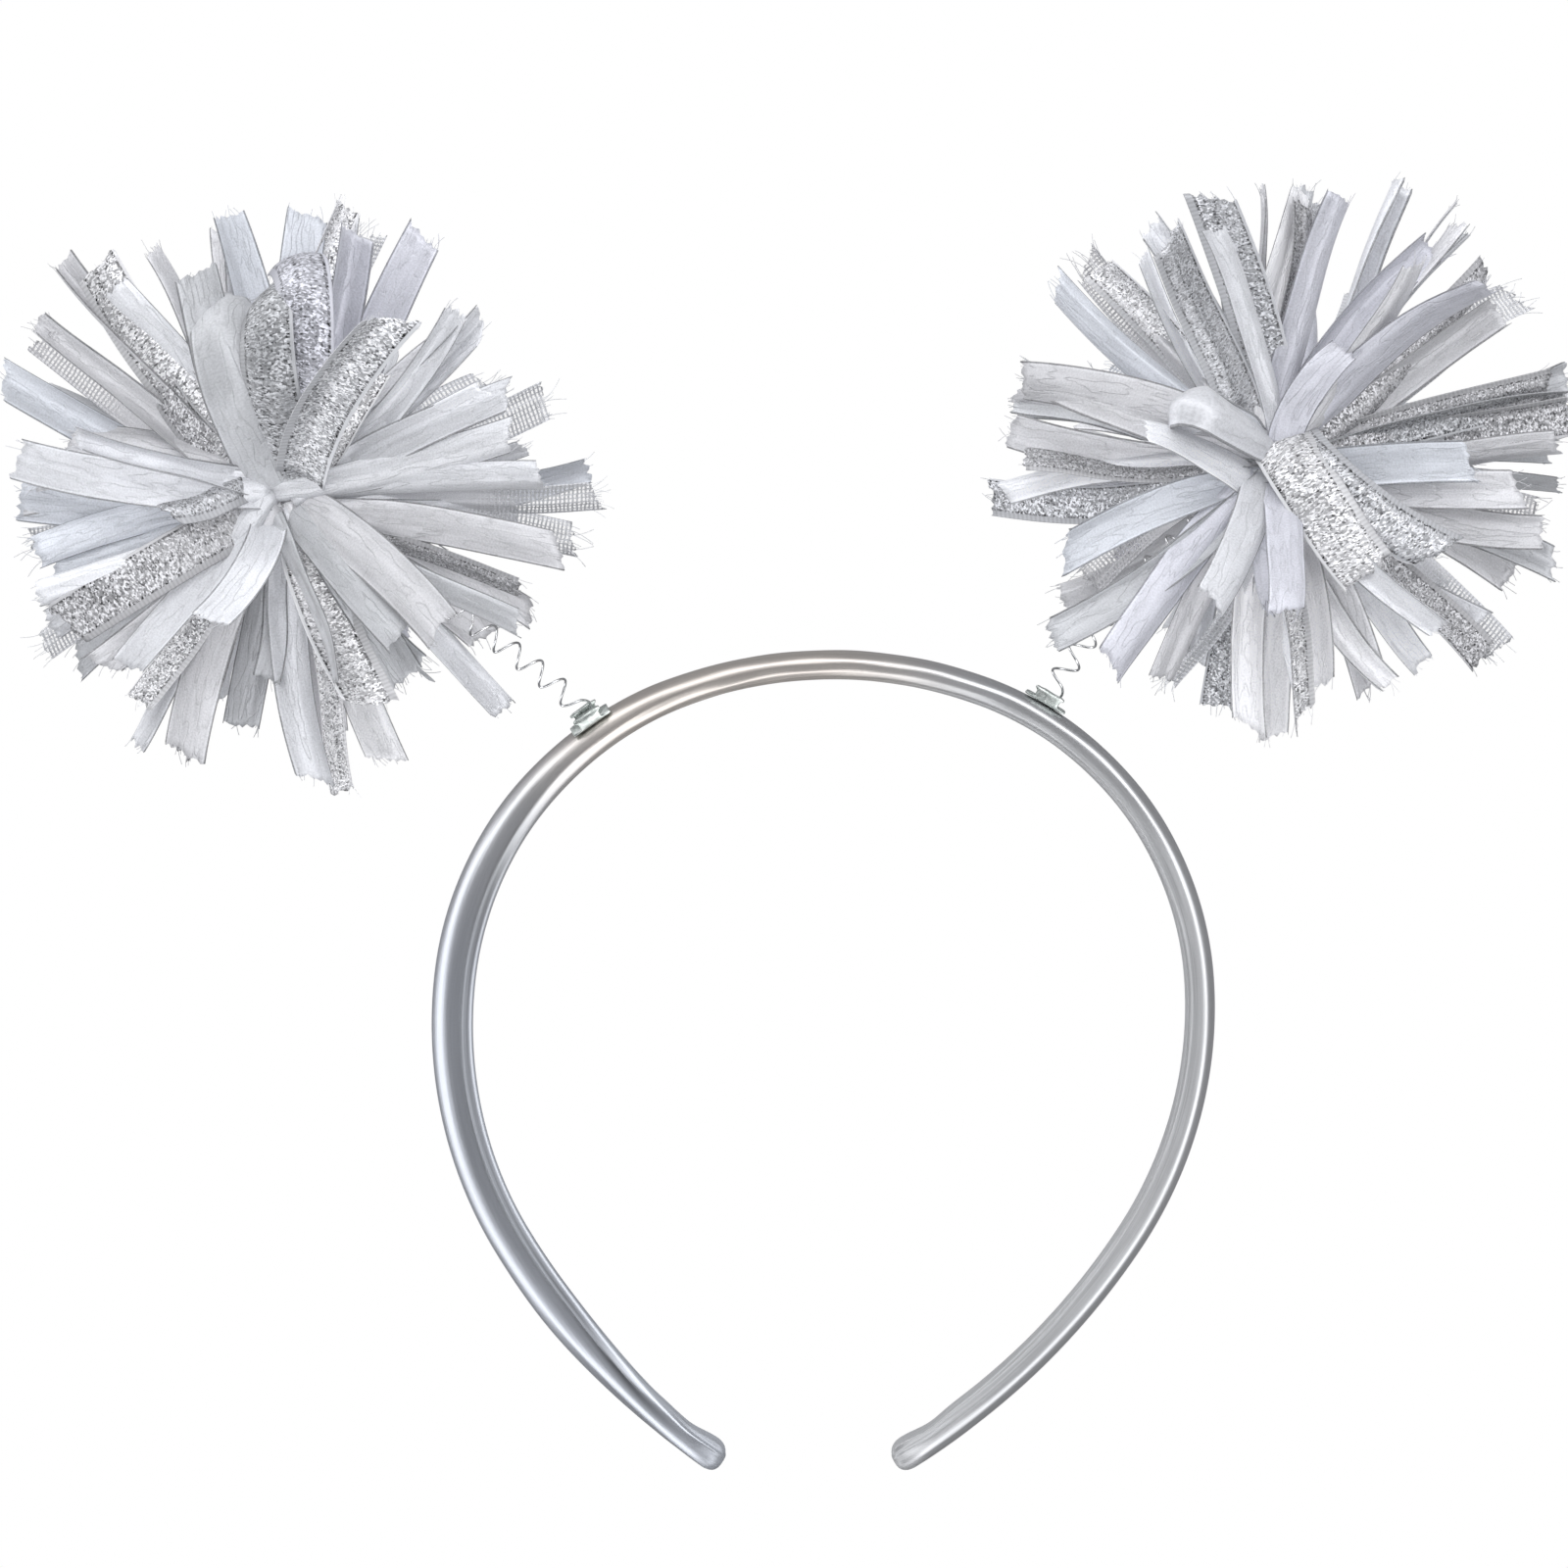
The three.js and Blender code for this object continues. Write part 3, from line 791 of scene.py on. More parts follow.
def band_relief(turn, angle, from_tip):
    """How far the cover stands off its plain section: pleats round the tips that wander a little and fade,
    a knob and a neck on the inner face near each tip, long shallow creases on that face, slanted pinches,
    and the seam's ridge and groove. Also gives how much of each point looks like seam."""
    inner = smoothstep(-np.cos(angle), -0.1, 0.6)
    wander = 1.5 * np.sin(3 * angle) + 0.12 * from_tip
    pleats = PLEAT_DEPTH * np.exp(-from_tip / PLEAT_FADE) * np.cos(PLEATS * angle + wander)
    gathered = bell(from_tip, *KNOB) + bell(from_tip, *NECK)
    crease = CREASE_DEPTH * np.cos(11 * angle + 2.5 * np.sin(9 * turn))
    pinch = PINCH_DEPTH * np.sin(46 * turn + 9 * np.sin(5 * turn)) * np.cos(5 * angle + 8 * turn)
    off_seam = np.degrees(angle) - SEAM_ANGLE
    relief = pleats + (crease + gathered) * inner + pinch
    return relief + bell(off_seam, *SEAM_RIDGE) + bell(off_seam, *SEAM_GROOVE), bell(off_seam, *SEAM_LOOK)


def rough_cloth(turn, angle, from_tip):
    """Where the cover is rougher: its inner side, from nearer the front on the right leg, and its ends."""
    right = smoothstep(turn, *ROUGH_RIGHT)
    off_outer = np.degrees(np.arccos(np.cos(angle)))
    inside = smoothstep(off_outer, lerp(*ROUGH_FROM, right), lerp(*ROUGH_FULL, right))
    return np.maximum(inside, smoothstep(from_tip, *ROUGH_TIP))


def left_painted_stripes(turn, angle):
    """Two stripes of painted light that run down the left leg: a narrow painted highlight where its front
    meets its inner face, and painted shade on its front."""
    leg = smoothstep(-turn, *PAINTED_STRIPES_START) * smoothstep(-turn, *PAINTED_STRIPES_END)
    return [leg * bell(np.degrees(angle), *stripe) for stripe in (PAINTED_HIGHLIGHT_STRIPE, PAINTED_SHADE_STRIPE)]


def headband():
    """The section, domed outside and flatter inside, carried along the middle line, leaned towards the
    front, rounded off at both tips and lifted by its relief."""
    tip = TIP_ROUNDING / HALF_LENGTH
    ends = 1 - tip * (1 - np.sin(np.linspace(0, np.pi / 2, TIP_STATIONS)))
    middle = np.linspace(-1, 1, BAND_STATIONS) * ends[0]
    turn = np.concatenate([-ends[:0:-1], middle, ends[1:]])[:, None]
    angle = round_angles(BAND_ROUND)[None]
    from_tip = (1 - np.abs(turn)) * HALF_LENGTH
    inside = np.clip((1 - np.abs(turn)) / tip, 0, 1)
    shrink = np.maximum(1 - (1 - inside) ** TIP_FULLNESS, TIP_POINT) ** (1 / TIP_FULLNESS)
    place, _, outward, forward = leaned_frame(turn[:, 0])
    cos, sin = np.cos(angle), np.sin(angle)
    fullness = np.where(cos > 0, OUTER_FULLNESS, INNER_FULLNESS)
    relief, seam = band_relief(turn, angle, from_tip)
    rise = (BAND_THICKNESS / 2 * signed_power(cos, 2 / fullness) + relief * cos) * shrink
    side = (BAND_DEPTH / 2 * signed_power(sin, 2 / fullness) + relief * sin) * shrink
    rings = place[:, None] + outward[:, None] * rise[..., None] + forward[:, None] * side[..., None]
    cloth = seamed(BAND_ROUND, 2 * (BAND_THICKNESS + BAND_DEPTH), turn[:, 0] * HALF_LENGTH)
    # The last two marks are the left leg's painted highlight and painted shade stripes.
    looks = [seam, rough_cloth(turn, angle, from_tip), *left_painted_stripes(turn, angle)]
    looks = [np.broadcast_to(look, rise.shape)[None] for look in looks]
    marks = dict(zip(("seam", "rough", "hem", "painted_shade"), looks))
    made = tubes("headband_cover", rings[None], cloth, **marks)
    finished(made, cover_finish(), "headband")


# Clips.

LUG_HEIGHT = 2 * CLIP_SHEET + 2 * CLEARANCE + WIRE_DIAMETER
COIL_RADIUS = (COIL_DIAMETER - WIRE_DIAMETER) / 2
LIP_REACH = COIL_RADIUS - LIP_COVER


def clip_seat(side):
    """The middle of a clip on the band's outer face, with the band's direction there and the ways out and
    forward. The turn is found where the outer face crosses the clip's distance from the middle."""
    turns = side * np.linspace(0, SEAT_WITHIN, SEAT_TURNS)
    place, _, out = band_frame(turns)
    across = side * (place[:, 0] + out[:, 0] * BAND_THICKNESS / 2)
    turn = np.interp(CLIP_SPREAD / 2 + side * CLIP_SHIFT, across, turns)
    place, along, outward, forward = leaned_frame(np.array([turn]))
    return (place + outward * (BAND_THICKNESS / 2 + CLEARANCE))[0], along[0], outward[0], forward[0]


def rounded_path(corners):
    """A path through corners. Each is rounded by a quadratic curve from the bend's radius before it to the
    radius after it. Each stretch from one point of this path to the next is then divided evenly."""
    bits = [corners[:1]]
    share = np.linspace(0, 1, BEND_STATIONS)[:, None]
    for before, at, after in zip(corners, corners[1:], corners[2:]):
        start = at + unit(before - at) * SHEET_BEND
        bits.append(curve(start, at, at + unit(after - at) * SHEET_BEND, share))
    path = np.concatenate(bits + [corners[-1:]])
    parts = np.arange(SHEET_PARTS)[:, None] / SHEET_PARTS
    return np.concatenate([lerp(a, b, parts) for a, b in zip(path, path[1:])] + [path[-1:]])


def spring_clip(name, side, finish):
    """One blank of sheet bent up along its front and back edges and in over the spring's foot: a rounded
    section carried along its bends, long on the plate, narrow at the neck of each lug and wider at its lip.
    The plate is bowed to hug the cover. Share is 0 on the plate and 1 at the top of the lugs."""
    place, along, outward, forward = clip_seat(side)
    half = CLIP_SHEET / 2
    deep = PLATE_DEPTH / 2 - half
    top = LUG_HEIGHT - half
    lug = [(LIP_REACH, top), (deep, top), (deep, half)]
    path = rounded_path(np.array([(-x, y) for x, y in lug] + lug[::-1]))
    run = run_along(path)
    share = (path[:, 1] - half) / (top - half)
    neck = lerp(LUG_NECK, LUG_LENGTH, smoothstep(share, *LIP_SHARES))
    from_end = np.clip(np.minimum(run, run[-1] - run) / BLANK_ROUNDING, 0, 1)
    cut = BLANK_ROUNDING * (1 - np.sqrt(np.clip(1 - (1 - from_end) ** 2, 0, 1)))
    breadth = lerp(CLIP_LENGTH, neck, smoothstep(share, *NECK_SHARES)) / 2 - cut
    hug = PLATE_BOW * (path[:, 0] / deep) ** 2 * (1 - smoothstep(share, *BOW_SHARES))
    course = unit(np.gradient(path, axis=0))
    square = np.stack([-course[:, 1], course[:, 0]], axis=-1)
    angle = (np.arange(SHEET_ROUND) + 0.5) / SHEET_ROUND * 2 * np.pi
    thick = half * signed_power(np.cos(angle), SHEET_FULLNESS[0])
    flat = path[:, None] + square[:, None] * thick[None, :, None]
    length = breadth[:, None] * signed_power(np.sin(angle), SHEET_FULLNESS[1])
    bulge = LUG_BULGE * np.cos(length / LUG_NECK * np.pi).clip(0) * smoothstep(share, *BULGE_SHARES)[:, None]
    dent = LIP_DENT * np.sin(DENT_WAVES * length + 1.3 + side) * smoothstep(share, *DENT_SHARES)[:, None]
    rings = (
        place
        + along * length[..., None]
        + outward * (flat[..., 1] - np.abs(dent) - hug[:, None])[..., None]
        + forward * (flat[..., 0] + np.sign(path[:, :1]) * bulge)[..., None]
    )
    cloth = seamed(SHEET_ROUND, 2 * (CLIP_LENGTH + CLIP_SHEET), run)
    made = tubes(f"clip_{name}", rings[None], cloth)
    finished(made, finish, f"spring_clip_{name}")


# Springs.

FOOT_HEIGHT = CLIP_SHEET + CLEARANCE + WIRE_DIAMETER / 2
PITCH_HEIGHT = LUG_HEIGHT + CLEARANCE + WIRE_DIAMETER / 2 + PITCH_START


def pompom_centre(name):
    """The middle of a pompom: from the clip's seat, its reach at its lean."""
    spec = SIDES[name]
    lean = math.radians(spec["lean"])
    seat = clip_seat(spec["side"])[0]
    return seat + spec["reach"] * np.array([spec["side"] * math.sin(lean), 0, math.cos(lean)])


def spring_line(name, distances):
    """Places and directions at distances along a spring's middle line, a quadratic curve from the clip, out
    of the band, to the middle of the pompom. Also gives the line's whole length."""
    spec = SIDES[name]
    seat, _, outward, _ = clip_seat(spec["side"])
    centre = pompom_centre(name)
    control = seat + outward * np.linalg.norm(centre - seat) * spec["leave"]
    line = curve(seat, control, centre, np.linspace(0, 1, SPRING_STATIONS)[:, None])
    course = unit(np.gradient(line, axis=0))
    run = run_along(line)
    at = [np.interp(distances, run, line[:, k]) for k in range(3)]
    way = [np.interp(distances, run, course[:, k]) for k in range(3)]
    return np.stack(at, axis=-1), unit(np.stack(way, axis=-1)), run[-1]


def coil_spring(name, finish):
    """A wire wound round the middle line: across times the cosine of its angle and ahead times the sine, at
    a height that is level under the lips, climbs over them and then rises by one pitch a turn."""
    rise = spring_line(name, 0.0)[2] - HEAD_DIAMETER / 2 + SOCKET_DEPTH
    climb_end = FULL_TURN + FOOT_START
    end = climb_end + (rise - PITCH_HEIGHT) / COIL_PITCH * FULL_TURN
    angle = np.linspace(FOOT_START, end, int((end - FOOT_START) / FULL_TURN * WIRE_STATIONS_A_TURN))
    heights = [FOOT_HEIGHT, FOOT_HEIGHT, PITCH_HEIGHT, rise]
    place, way, _ = spring_line(name, np.interp(angle, [FOOT_START, FOOT_END, climb_end, end], heights))
    across = unit(np.cross(way, FRONT))
    turn = np.radians(angle)[:, None]
    radial = across * np.cos(turn) + np.cross(across, way) * np.sin(turn)
    rings = wire_rings(place + radial * COIL_RADIUS, radial, WIRE_DIAMETER / 2, WIRE_ROUND)
    run = np.radians(angle - FOOT_START) * COIL_RADIUS
    made = tubes(f"coil_{name}", rings[None], seamed(WIRE_ROUND, np.pi * WIRE_DIAMETER, run))
    finished(made, finish, f"spring_{name}")


# Pompoms.

# Ribbons that show from the front, anticlockwise from the right, then the ones nearest the viewer.
# Columns: clock angle, angle towards the viewer, length as a share of the ribbon's, turn of the flat face
# away from the viewer, bend towards that face, dye, width as a share of the ribbon's, how far to the right
# of the tie and how far above it the ribbon starts, and the shares of its length between which it bends. A
# row leaves out its last columns where they are plain. A bend of about half a turn over a short share folds
# a ribbon to a loop.
SET_COLUMNS = 6
PLAIN_COLUMNS = (1.0, 0.0, 0.0, 0.0, 1.0)
RIBBONS = {("left", "satin"): [
    (10, 12, 0.86, 15, -8, "white"),
    (5, 14, 0.9, 15, -8, "pale"),
    (0, -3, 0.98, 8, -6, "bluish", 1.2),
    (350, 6, 0.94, 30, -10, "grey"),
    (335, 4, 0.92, 66, 8, "dark", 0.9),
    (340, -5, 0.9, 62, 6, "grey"),
    (331, -12, 0.86, 25, 8, "grey"),
    (323, 42, 0.82, 10, -20, "grey", 1.3),
    (309, 40, 0.8, 16, -16, "dark", 1.1),
    (315, -4, 0.96, 10, -6, "pale"),
    (302, 30, 0.8, 16, -22, "dark"),
    (309, 5, 0.76, 60, 6, "dark"),
    (297, 25, 0.75, 55, 8, "dark"),
    (289, 4, 0.96, 10, -6, "bright", 1.1),
    (280, -8, 0.82, 20, 5, "grey"),
    (272, 5, 0.95, 5, -5, "pale", 1.1),
    (259, -6, 0.78, 15, 4, "dark"),
    (264, 0, 0.64, 60, 5, "dark"),
    (246, 12, 0.92, 10, -6, "grey", 1.2),
    (239, 2, 0.95, 20, 5, "pale"),
    (233, 22, 0.8, 10, -12, "pale"),
    (226, 20, 0.84, 10, -12, "grey"),
    (219, -2, 0.84, 65, 8, "dark"),
    (201, 4, 0.9, 25, -8, "pale", 0.9),
    (190, 16, 0.87, 8, -6, "bluish", 1.1),
    (184, 14, 0.9, 8, -6, "bluish", 1.1),
    (200, 8, 0.82, 20, 6, "bluish"),
    (174, 16, 0.82, 5, -4, "grey", 1.2),
    (168, 45, 0.75, 30, -14, "pale", 0.9),
    (163, 8, 0.76, 15, 6, "grey"),
    (160, 0, 0.87, 55, 8, "dark"),
    (156, 12, 0.98, 12, -8, "bluish", 1.15),
    (142, 9, 1.02, 12, -6, "grey"),
    (137, 5, 1.06, 72, 4, "grey"),
    (126, 8, 0.92, 16, -6, "white"),
    (118, 2, 0.92, 60, 6, "grey"),
    (110, 0, 0.91, 50, 8, "grey"),
    (104, -2, 0.92, 30, 5, "grey"),
    (99, 4, 0.94, 12, 6, "bluish", 1.2),
    (92, 0, 0.95, 10, -5, "bluish", 1.2),
    (80, -6, 0.99, 15, 6, "white", 0.9),
    (70, 8, 0.88, 20, 6, "lilac", 1.2),
    (62, 4, 0.98, 12, -6, "lilac", 1.2),
    (55, -12, 0.77, 30, 6, "grey"),
    (43, 12, 0.84, 15, 12, "white"),
    (37, 8, 0.88, 15, 12, "white"),
    (29, 6, 0.78, 50, 8, "white"),
    (26, 14, 0.86, 20, -8, "pale"),
    (14, 0, 0.82, 30, 8, "white"),
    (110, 36, 0.84, -8, -118, "dark", 1.6, -1.4, 0.4, 0.45),
    (114, 22, 0.78, 12, -12, "dark", 1.35, -2.5, 1.0),
    (258, 52, 0.52, 0, -24, "pale", 1.0, -3.2, -1.4),
    (168, 42, 0.6, 25, -50, "pale", 1.1, -2.0, 1.6, 0.1, 0.6),
    (176, 30, 0.88, 10, -20, "pale", 1.1, -2.0, 0.6, 0.1),
    (203, 34, 0.82, 8, -30, "white", 1.0, -2.6),
], ("left", "glitter"): [
    (345, 0, 0.88, 60, 10, "grey"),
    (282, 2, 0.96, 50, -6, "bright", 0.9),
    (290, 32, 0.8, 10, -16, "bright", 1.4),
    (253, 4, 0.89, 60, 6, "grey"),
    (238, 15, 0.88, 15, -10, "bright"),
    (148, 24, 0.52, 10, -16, "grey"),
    (134, 0, 0.98, 12, 6, "bright", 1.3),
    (85, 2, 0.98, 30, 6, "bright"),
    (94, 40, 0.94, 0, -130, "dark", 1.7, -0.3, 0.4, 0.5),
    (80, 36, 0.92, 8, -125, "lilac", 1.6, 0.9, 0.6, 0.5),
    (61, 44, 0.74, 8, -18, "white", 1.4, 1.8, -0.4),
    (52, 34, 0.56, 30, -22, "bright", 1.0, 2.6, 0.2),
    (211, 40, 0.84, 10, -40, "grey", 1.35, -2.6, -0.8),
    (212, 66, 0.4, 0, -60, "pale", 1.2, -4.0, 3.4),
], ("left", "net"): [
    (3, -5, 1.03, 70, 6, "white"),
    (353, -8, 1.02, 20, 6, "white"),
    (209, -6, 0.98, 15, 6, "white"),
    (188, -6, 0.93, 10, 5, "pale"),
    (149, 4, 0.98, 12, 6, "grey"),
    (77, -8, 0.95, 20, 6, "white"),
    (31, 4, 0.8, 20, -6, "pale"),
    (21, -5, 0.94, 15, 6, "white"),
], ("right", "satin"): [
    (77, 14, 0.94, 12, -6, "lilac", 1.1),
    (65, -4, 1.0, 14, 6, "pale"),
    (59, -4, 1.03, 70, 4, "grey"),
    (56, -2, 1.02, 75, 4, "grey"),
    (54, -6, 1.05, 70, 3, "dark"),
    (49, 16, 0.95, 10, 14, "lilac", 1.15),
    (57, 8, 0.93, 12, -6, "lilac", 1.1),
    (53, 12, 0.86, 12, 8, "grey"),
    (35, 4, 0.94, 15, 6, "grey", 1.1),
    (14, -2, 1.02, 30, 5, "dark", 1.1),
    (10, -4, 0.98, 30, 5, "dark", 1.1),
    (5, 26, 0.74, 8, -6, "bluish", 1.15),
    (3, 0, 0.95, 30, 6, "grey"),
    (358, -6, 1.0, 50, 5, "dark"),
    (352, 14, 0.84, 10, -8, "grey", 1.1),
    (343, 8, 0.9, 15, 6, "grey", 1.1),
    (347, 4, 0.92, 15, 6, "dark"),
    (338, 5, 0.9, 20, -8, "grey"),
    (320, 2, 0.88, 25, -6, "pale"),
    (312, -4, 0.84, 20, 6, "white"),
    (306, 26, 0.8, 15, -10, "white"),
    (293, 6, 0.84, 10, 6, "bright", 1.1),
    (287, 10, 0.8, 20, 6, "bright"),
    (300, -6, 0.8, 40, 6, "grey"),
    (279, 4, 0.8, 55, 6, "white"),
    (270, 4, 0.9, 12, -6, "bright", 1.2),
    (259, 2, 0.89, 15, 6, "bright"),
    (230, 26, 0.9, 8, -12, "lilac", 1.1),
    (238, 20, 0.8, 8, -12, "grey"),
    (221, 20, 0.98, 10, -8, "dark", 1.1),
    (218, -6, 0.8, 25, 6, "grey"),
    (197, 12, 0.79, 25, -8, "bluish"),
    (183, 8, 0.9, 30, -6, "white"),
    (176, 4, 0.9, 15, 8, "grey"),
    (168, -6, 0.88, 64, 4, "dark"),
    (160, 20, 0.92, 12, -8, "grey", 1.15),
    (166, 18, 0.9, 12, -8, "grey", 1.1),
    (153, 2, 0.7, 40, 6, "dark"),
    (157, -8, 0.86, 20, 6, "grey"),
    (146, 10, 0.96, 10, -8, "bluish"),
    (124, 4, 0.88, 45, 8, "white"),
    (116, 12, 0.94, 12, -8, "white"),
    (108, 18, 0.84, 30, 8, "pale", 0.9),
    (97, 8, 0.92, 60, 8, "grey"),
    (90, 6, 0.92, 10, 8, "bright", 1.1),
    (86, 2, 0.94, 40, 8, "dark"),
    (154, 26, 0.94, 14, 200, "pale", 1.6, -2.0, 0.2, 0.38, 0.55),
    (64, 40, 0.4, 20, -40, "lilac", 1.0, 2.2, 3.0),
    (266, 52, 0.68, 5, -20, "lilac", 1.1, -0.9, -1.2),
    (246, 48, 0.68, 5, -20, "pale", 1.15, -2.4, -1.2),
    (258, 38, 0.54, 30, -20, "lilac", 1.0, -1.2, -1.6),
    (154, 44, 0.52, 20, -24, "white", 1.1, -1.0, -0.2),
], ("right", "glitter"): [
    (85, 2, 0.91, 40, 6, "pale"),
    (82, 6, 0.9, 60, 6, "grey"),
    (39, 6, 0.96, 12, -8, "grey"),
    (17.5, 4, 0.98, 30, 6, "grey", 1.1),
    (15, 8, 1.0, 40, -6, "dark"),
    (12.5, 4, 1.04, 35, 6, "grey", 1.1),
    (9, -2, 1.02, 20, 6, "dark", 1.1),
    (20, -4, 0.94, 30, 6, "grey"),
    (327, 4, 0.93, 60, 8, "grey"),
    (283, 16, 0.9, 60, 6, "bright"),
    (262, -4, 0.82, 60, 6, "pale"),
    (190, 2, 0.94, 15, 6, "pale"),
    (180, 6, 0.86, 66, 6, "grey"),
    (130, 2, 0.86, 25, 8, "bright"),
    (116, 20, 0.88, 12, 6, "pale", 1.35),
    (103, 16, 0.91, 15, -6, "pale", 1.3),
    (296, 68, 0.64, 0, -76, "bright", 1.7, 2.2, 4.6, 0.0, 0.7),
    (308, 60, 0.68, 8, -74, "pale", 1.4, 5.8, 5.2, 0.0, 0.7),
], ("right", "net"): [
    (41, -8, 1.05, 20, 6, "white"),
    (31, -10, 0.78, 20, 6, "white"),
    (354, -8, 0.9, 10, 6, "grey"),
    (324, -6, 0.96, 15, 6, "pale"),
    (250, -6, 0.82, 60, 6, "white"),
    (213, -4, 0.76, 20, 6, "grey"),
    (134, -6, 0.93, 15, 6, "grey"),
]}

# The ribbons behind are spread evenly, each a golden angle on from the last one, by how many there are, the
# angles away from the viewer that they span, their length, bend and the turn of the face between them.
BACK = {"satin": 36, "glitter": 12, "net": 6}
BACK_SPAN = (18, 84)
BACK_REACH = 0.74
BACK_BEND = 14
BACK_FACE_STEP = 67
BACK_DYES = ("pale", "bluish", "grey", "white", "lilac", "pale", "dark")


def back_rows():
    """Rows for all the ribbons behind: the sine of the angle away grows evenly from one to the next."""
    golden = FULL_TURN / 2 * (3 - math.sqrt(5))
    total = sum(BACK.values())
    order = np.arange(total)
    near, far = np.sin(np.radians(BACK_SPAN))
    away = -np.degrees(np.arcsin(lerp(near, far, (order + 0.5) / total)))
    rows = [
        (i * golden, away[i], BACK_REACH, i * BACK_FACE_STEP % (FULL_TURN / 2),
         BACK_BEND * (-1) ** i, BACK_DYES[i % len(BACK_DYES)])
        for i in order
    ]
    shuffled = rng.permutation(total)
    ends = np.cumsum(list(BACK.values()))
    return {
        kind: [rows[i] for i in np.sort(shuffled[end - count:end])]
        for (kind, count), end in zip(BACK.items(), ends)
    }


class Ribbons:
    """Many ribbons at once. Each leaves the tie along its direction, bends towards its flat face, bows to
    one side and back, twists about its own line and is rolled up across its width, the most at the tie."""

    def __init__(self, centre, rows, rolls):
        columns = [*zip(*(row + PLAIN_COLUMNS[len(row) - SET_COLUMNS:] for row in rows))]
        dyes = columns.pop(SET_COLUMNS - 1)
        turn, toward, reach, face, bend, width, right, above, self.bend_from, self.bend_to = (
            np.array(column, dtype=float)[:, None, None] for column in columns
        )
        self.count = len(rows)
        self.dye = np.array([DYES[name] for name in dyes]) * rng.uniform(*DYE_VARIES, (self.count, 1))
        self.length = reach * RIBBON_LENGTH
        self.width = width * RIBBON_WIDTH
        self.bend = np.radians(bend)
        clock = np.radians(turn)
        level = np.stack([np.cos(clock), np.zeros(turn.shape), np.sin(clock)], axis=-1)
        ahead = np.sin(np.radians(toward))[..., None]
        self.direction = level * np.cos(np.radians(toward))[..., None] + FRONT * ahead
        shown = np.where(np.abs(self.direction[..., 1:2]) > END_ON, UPWARD, FRONT)
        facing = unit(shown - dot(shown, self.direction) * self.direction)
        self.normal = turned(facing, self.direction, face[..., None])
        self.aside = np.cross(self.normal, self.direction)
        loose = rng.normal(0, ROOT_SPREAD, (self.count, 1, 1, 3)) + FRONT * ROOT_FORWARD * ahead.clip(0)
        self.root = centre + loose + np.concatenate([right, 0 * right, above], axis=-1)[:, None]
        self.looped = np.abs(bend) > LOOP_BEND
        near = lerp(1, NEAR_ROLL, smoothstep(toward, *NEAR_TOWARD))
        self.root_roll = math.radians(ROOT_ROLL) * np.where(self.looped, 1, near)
        arched = np.abs(bend) > ARCH_BEND
        self.roll = np.radians(np.where(arched, ARCH_ROLL, self.pick(rolls) / width ** 2))
        self.side = np.where(arched, -np.sign(bend), np.sign(self.pick(ROLL_SIDE)))
        for name, span in VARIES.items():
            setattr(self, name, self.pick(span))

    def pick(self, span):
        """A value in a span for each ribbon, by chance."""
        return rng.uniform(*span, (self.count, 1, 1))

    def line(self, share):
        """The middle line: straight, then an arc whose radius is its length over the bend, then straight.
        Also gives its direction and the direction square to the cloth."""
        part = self.bend_to - self.bend_from
        angle = (self.bend * np.clip((share - self.bend_from) / part, 0, 1))[..., None]
        radius = (self.length * part / self.bend)[..., None]
        before = (self.length * np.minimum(share, self.bend_from))[..., None]
        after = (self.length * np.maximum(share - self.bend_to, 0))[..., None]
        course = self.direction * np.cos(angle) + self.normal * np.sin(angle)
        thick = self.normal * np.cos(angle) - self.direction * np.sin(angle)
        arc = self.direction * radius * np.sin(angle) + self.normal * radius * (1 - np.cos(angle))
        return self.root + self.direction * before + arc + course * after, course, thick

    def at(self, share, across, lift=0.0):
        """Places on the ribbons. Share is 0 at the tie and 1 at the cut end, across is -1 and 1 at the
        edges, and lift is a distance off the middle of the cloth. The section is part of a circle whose
        radius is the width over the roll. It is creased by its distance from a line along it, ribbed and
        waved. Also gives the ribbon's direction and the one across it."""
        line, course, thick = self.line(share)
        bowed = self.aside * (self.bow * share * (share - BOW_RETURN))[..., None]
        thick = turned(thick, course, (self.twist * share)[..., None])
        sideways = np.cross(thick, course)
        from_tie = np.where(self.looped, 2 * np.minimum(share, 1 - share), share)
        opened = smoothstep(from_tie, 0, OPEN_AT / self.width * RIBBON_WIDTH)
        roll = lerp(self.root_roll, self.roll, opened)
        radius = self.width / roll
        angle = roll / 2 * across
        rolled = self.side * radius * (np.cos(angle) - np.cos(roll / 2))
        ribbed = RIB_DEPTH * np.cos(self.ribs * np.pi * across + self.rib_phase + 1.5 * share)
        creased = self.crease * (0.5 - np.abs(across - self.crease_at)) * opened
        waved = self.wave * np.sin(2 * np.pi * WAVES * share + self.wave_phase) * share
        off = rolled + ribbed + creased + waved + lift * np.cos(angle)
        aside = radius * np.sin(angle) + self.side * lift * np.sin(angle)
        return line + bowed + sideways * aside[..., None] + thick * off[..., None], course, sideways


def clear_of_spring(points, name):
    """Points outside the tied middle that would lie in the coil are moved straight out to just round it."""
    length = spring_line(name, 0.0)[2]
    line = spring_line(name, np.linspace(0, length - CORE_DIAMETER / 2, WAY_STATIONS))[0]
    flat = points.reshape(-1, 3)
    room = COIL_DIAMETER / 2 + CLEARANCE
    some = line[None, ::WAY_STEP]
    close = np.linalg.norm(flat[:, None] - some, axis=-1).min(1) < room + WAY_MARGIN
    near = flat[close]
    gaps = near[:, None] - line[None]
    distance = np.linalg.norm(gaps, axis=-1)
    nearest = np.arange(len(near)), distance.argmin(1)
    least = distance[nearest]
    outside = np.linalg.norm(near - pompom_centre(name), axis=-1) > CORE_DIAMETER / 2
    pushed = (least < room) & outside
    near[pushed] += (gaps[nearest] / least[:, None] * (room - least)[:, None])[pushed]
    flat[close] = near
    return flat.reshape(points.shape)


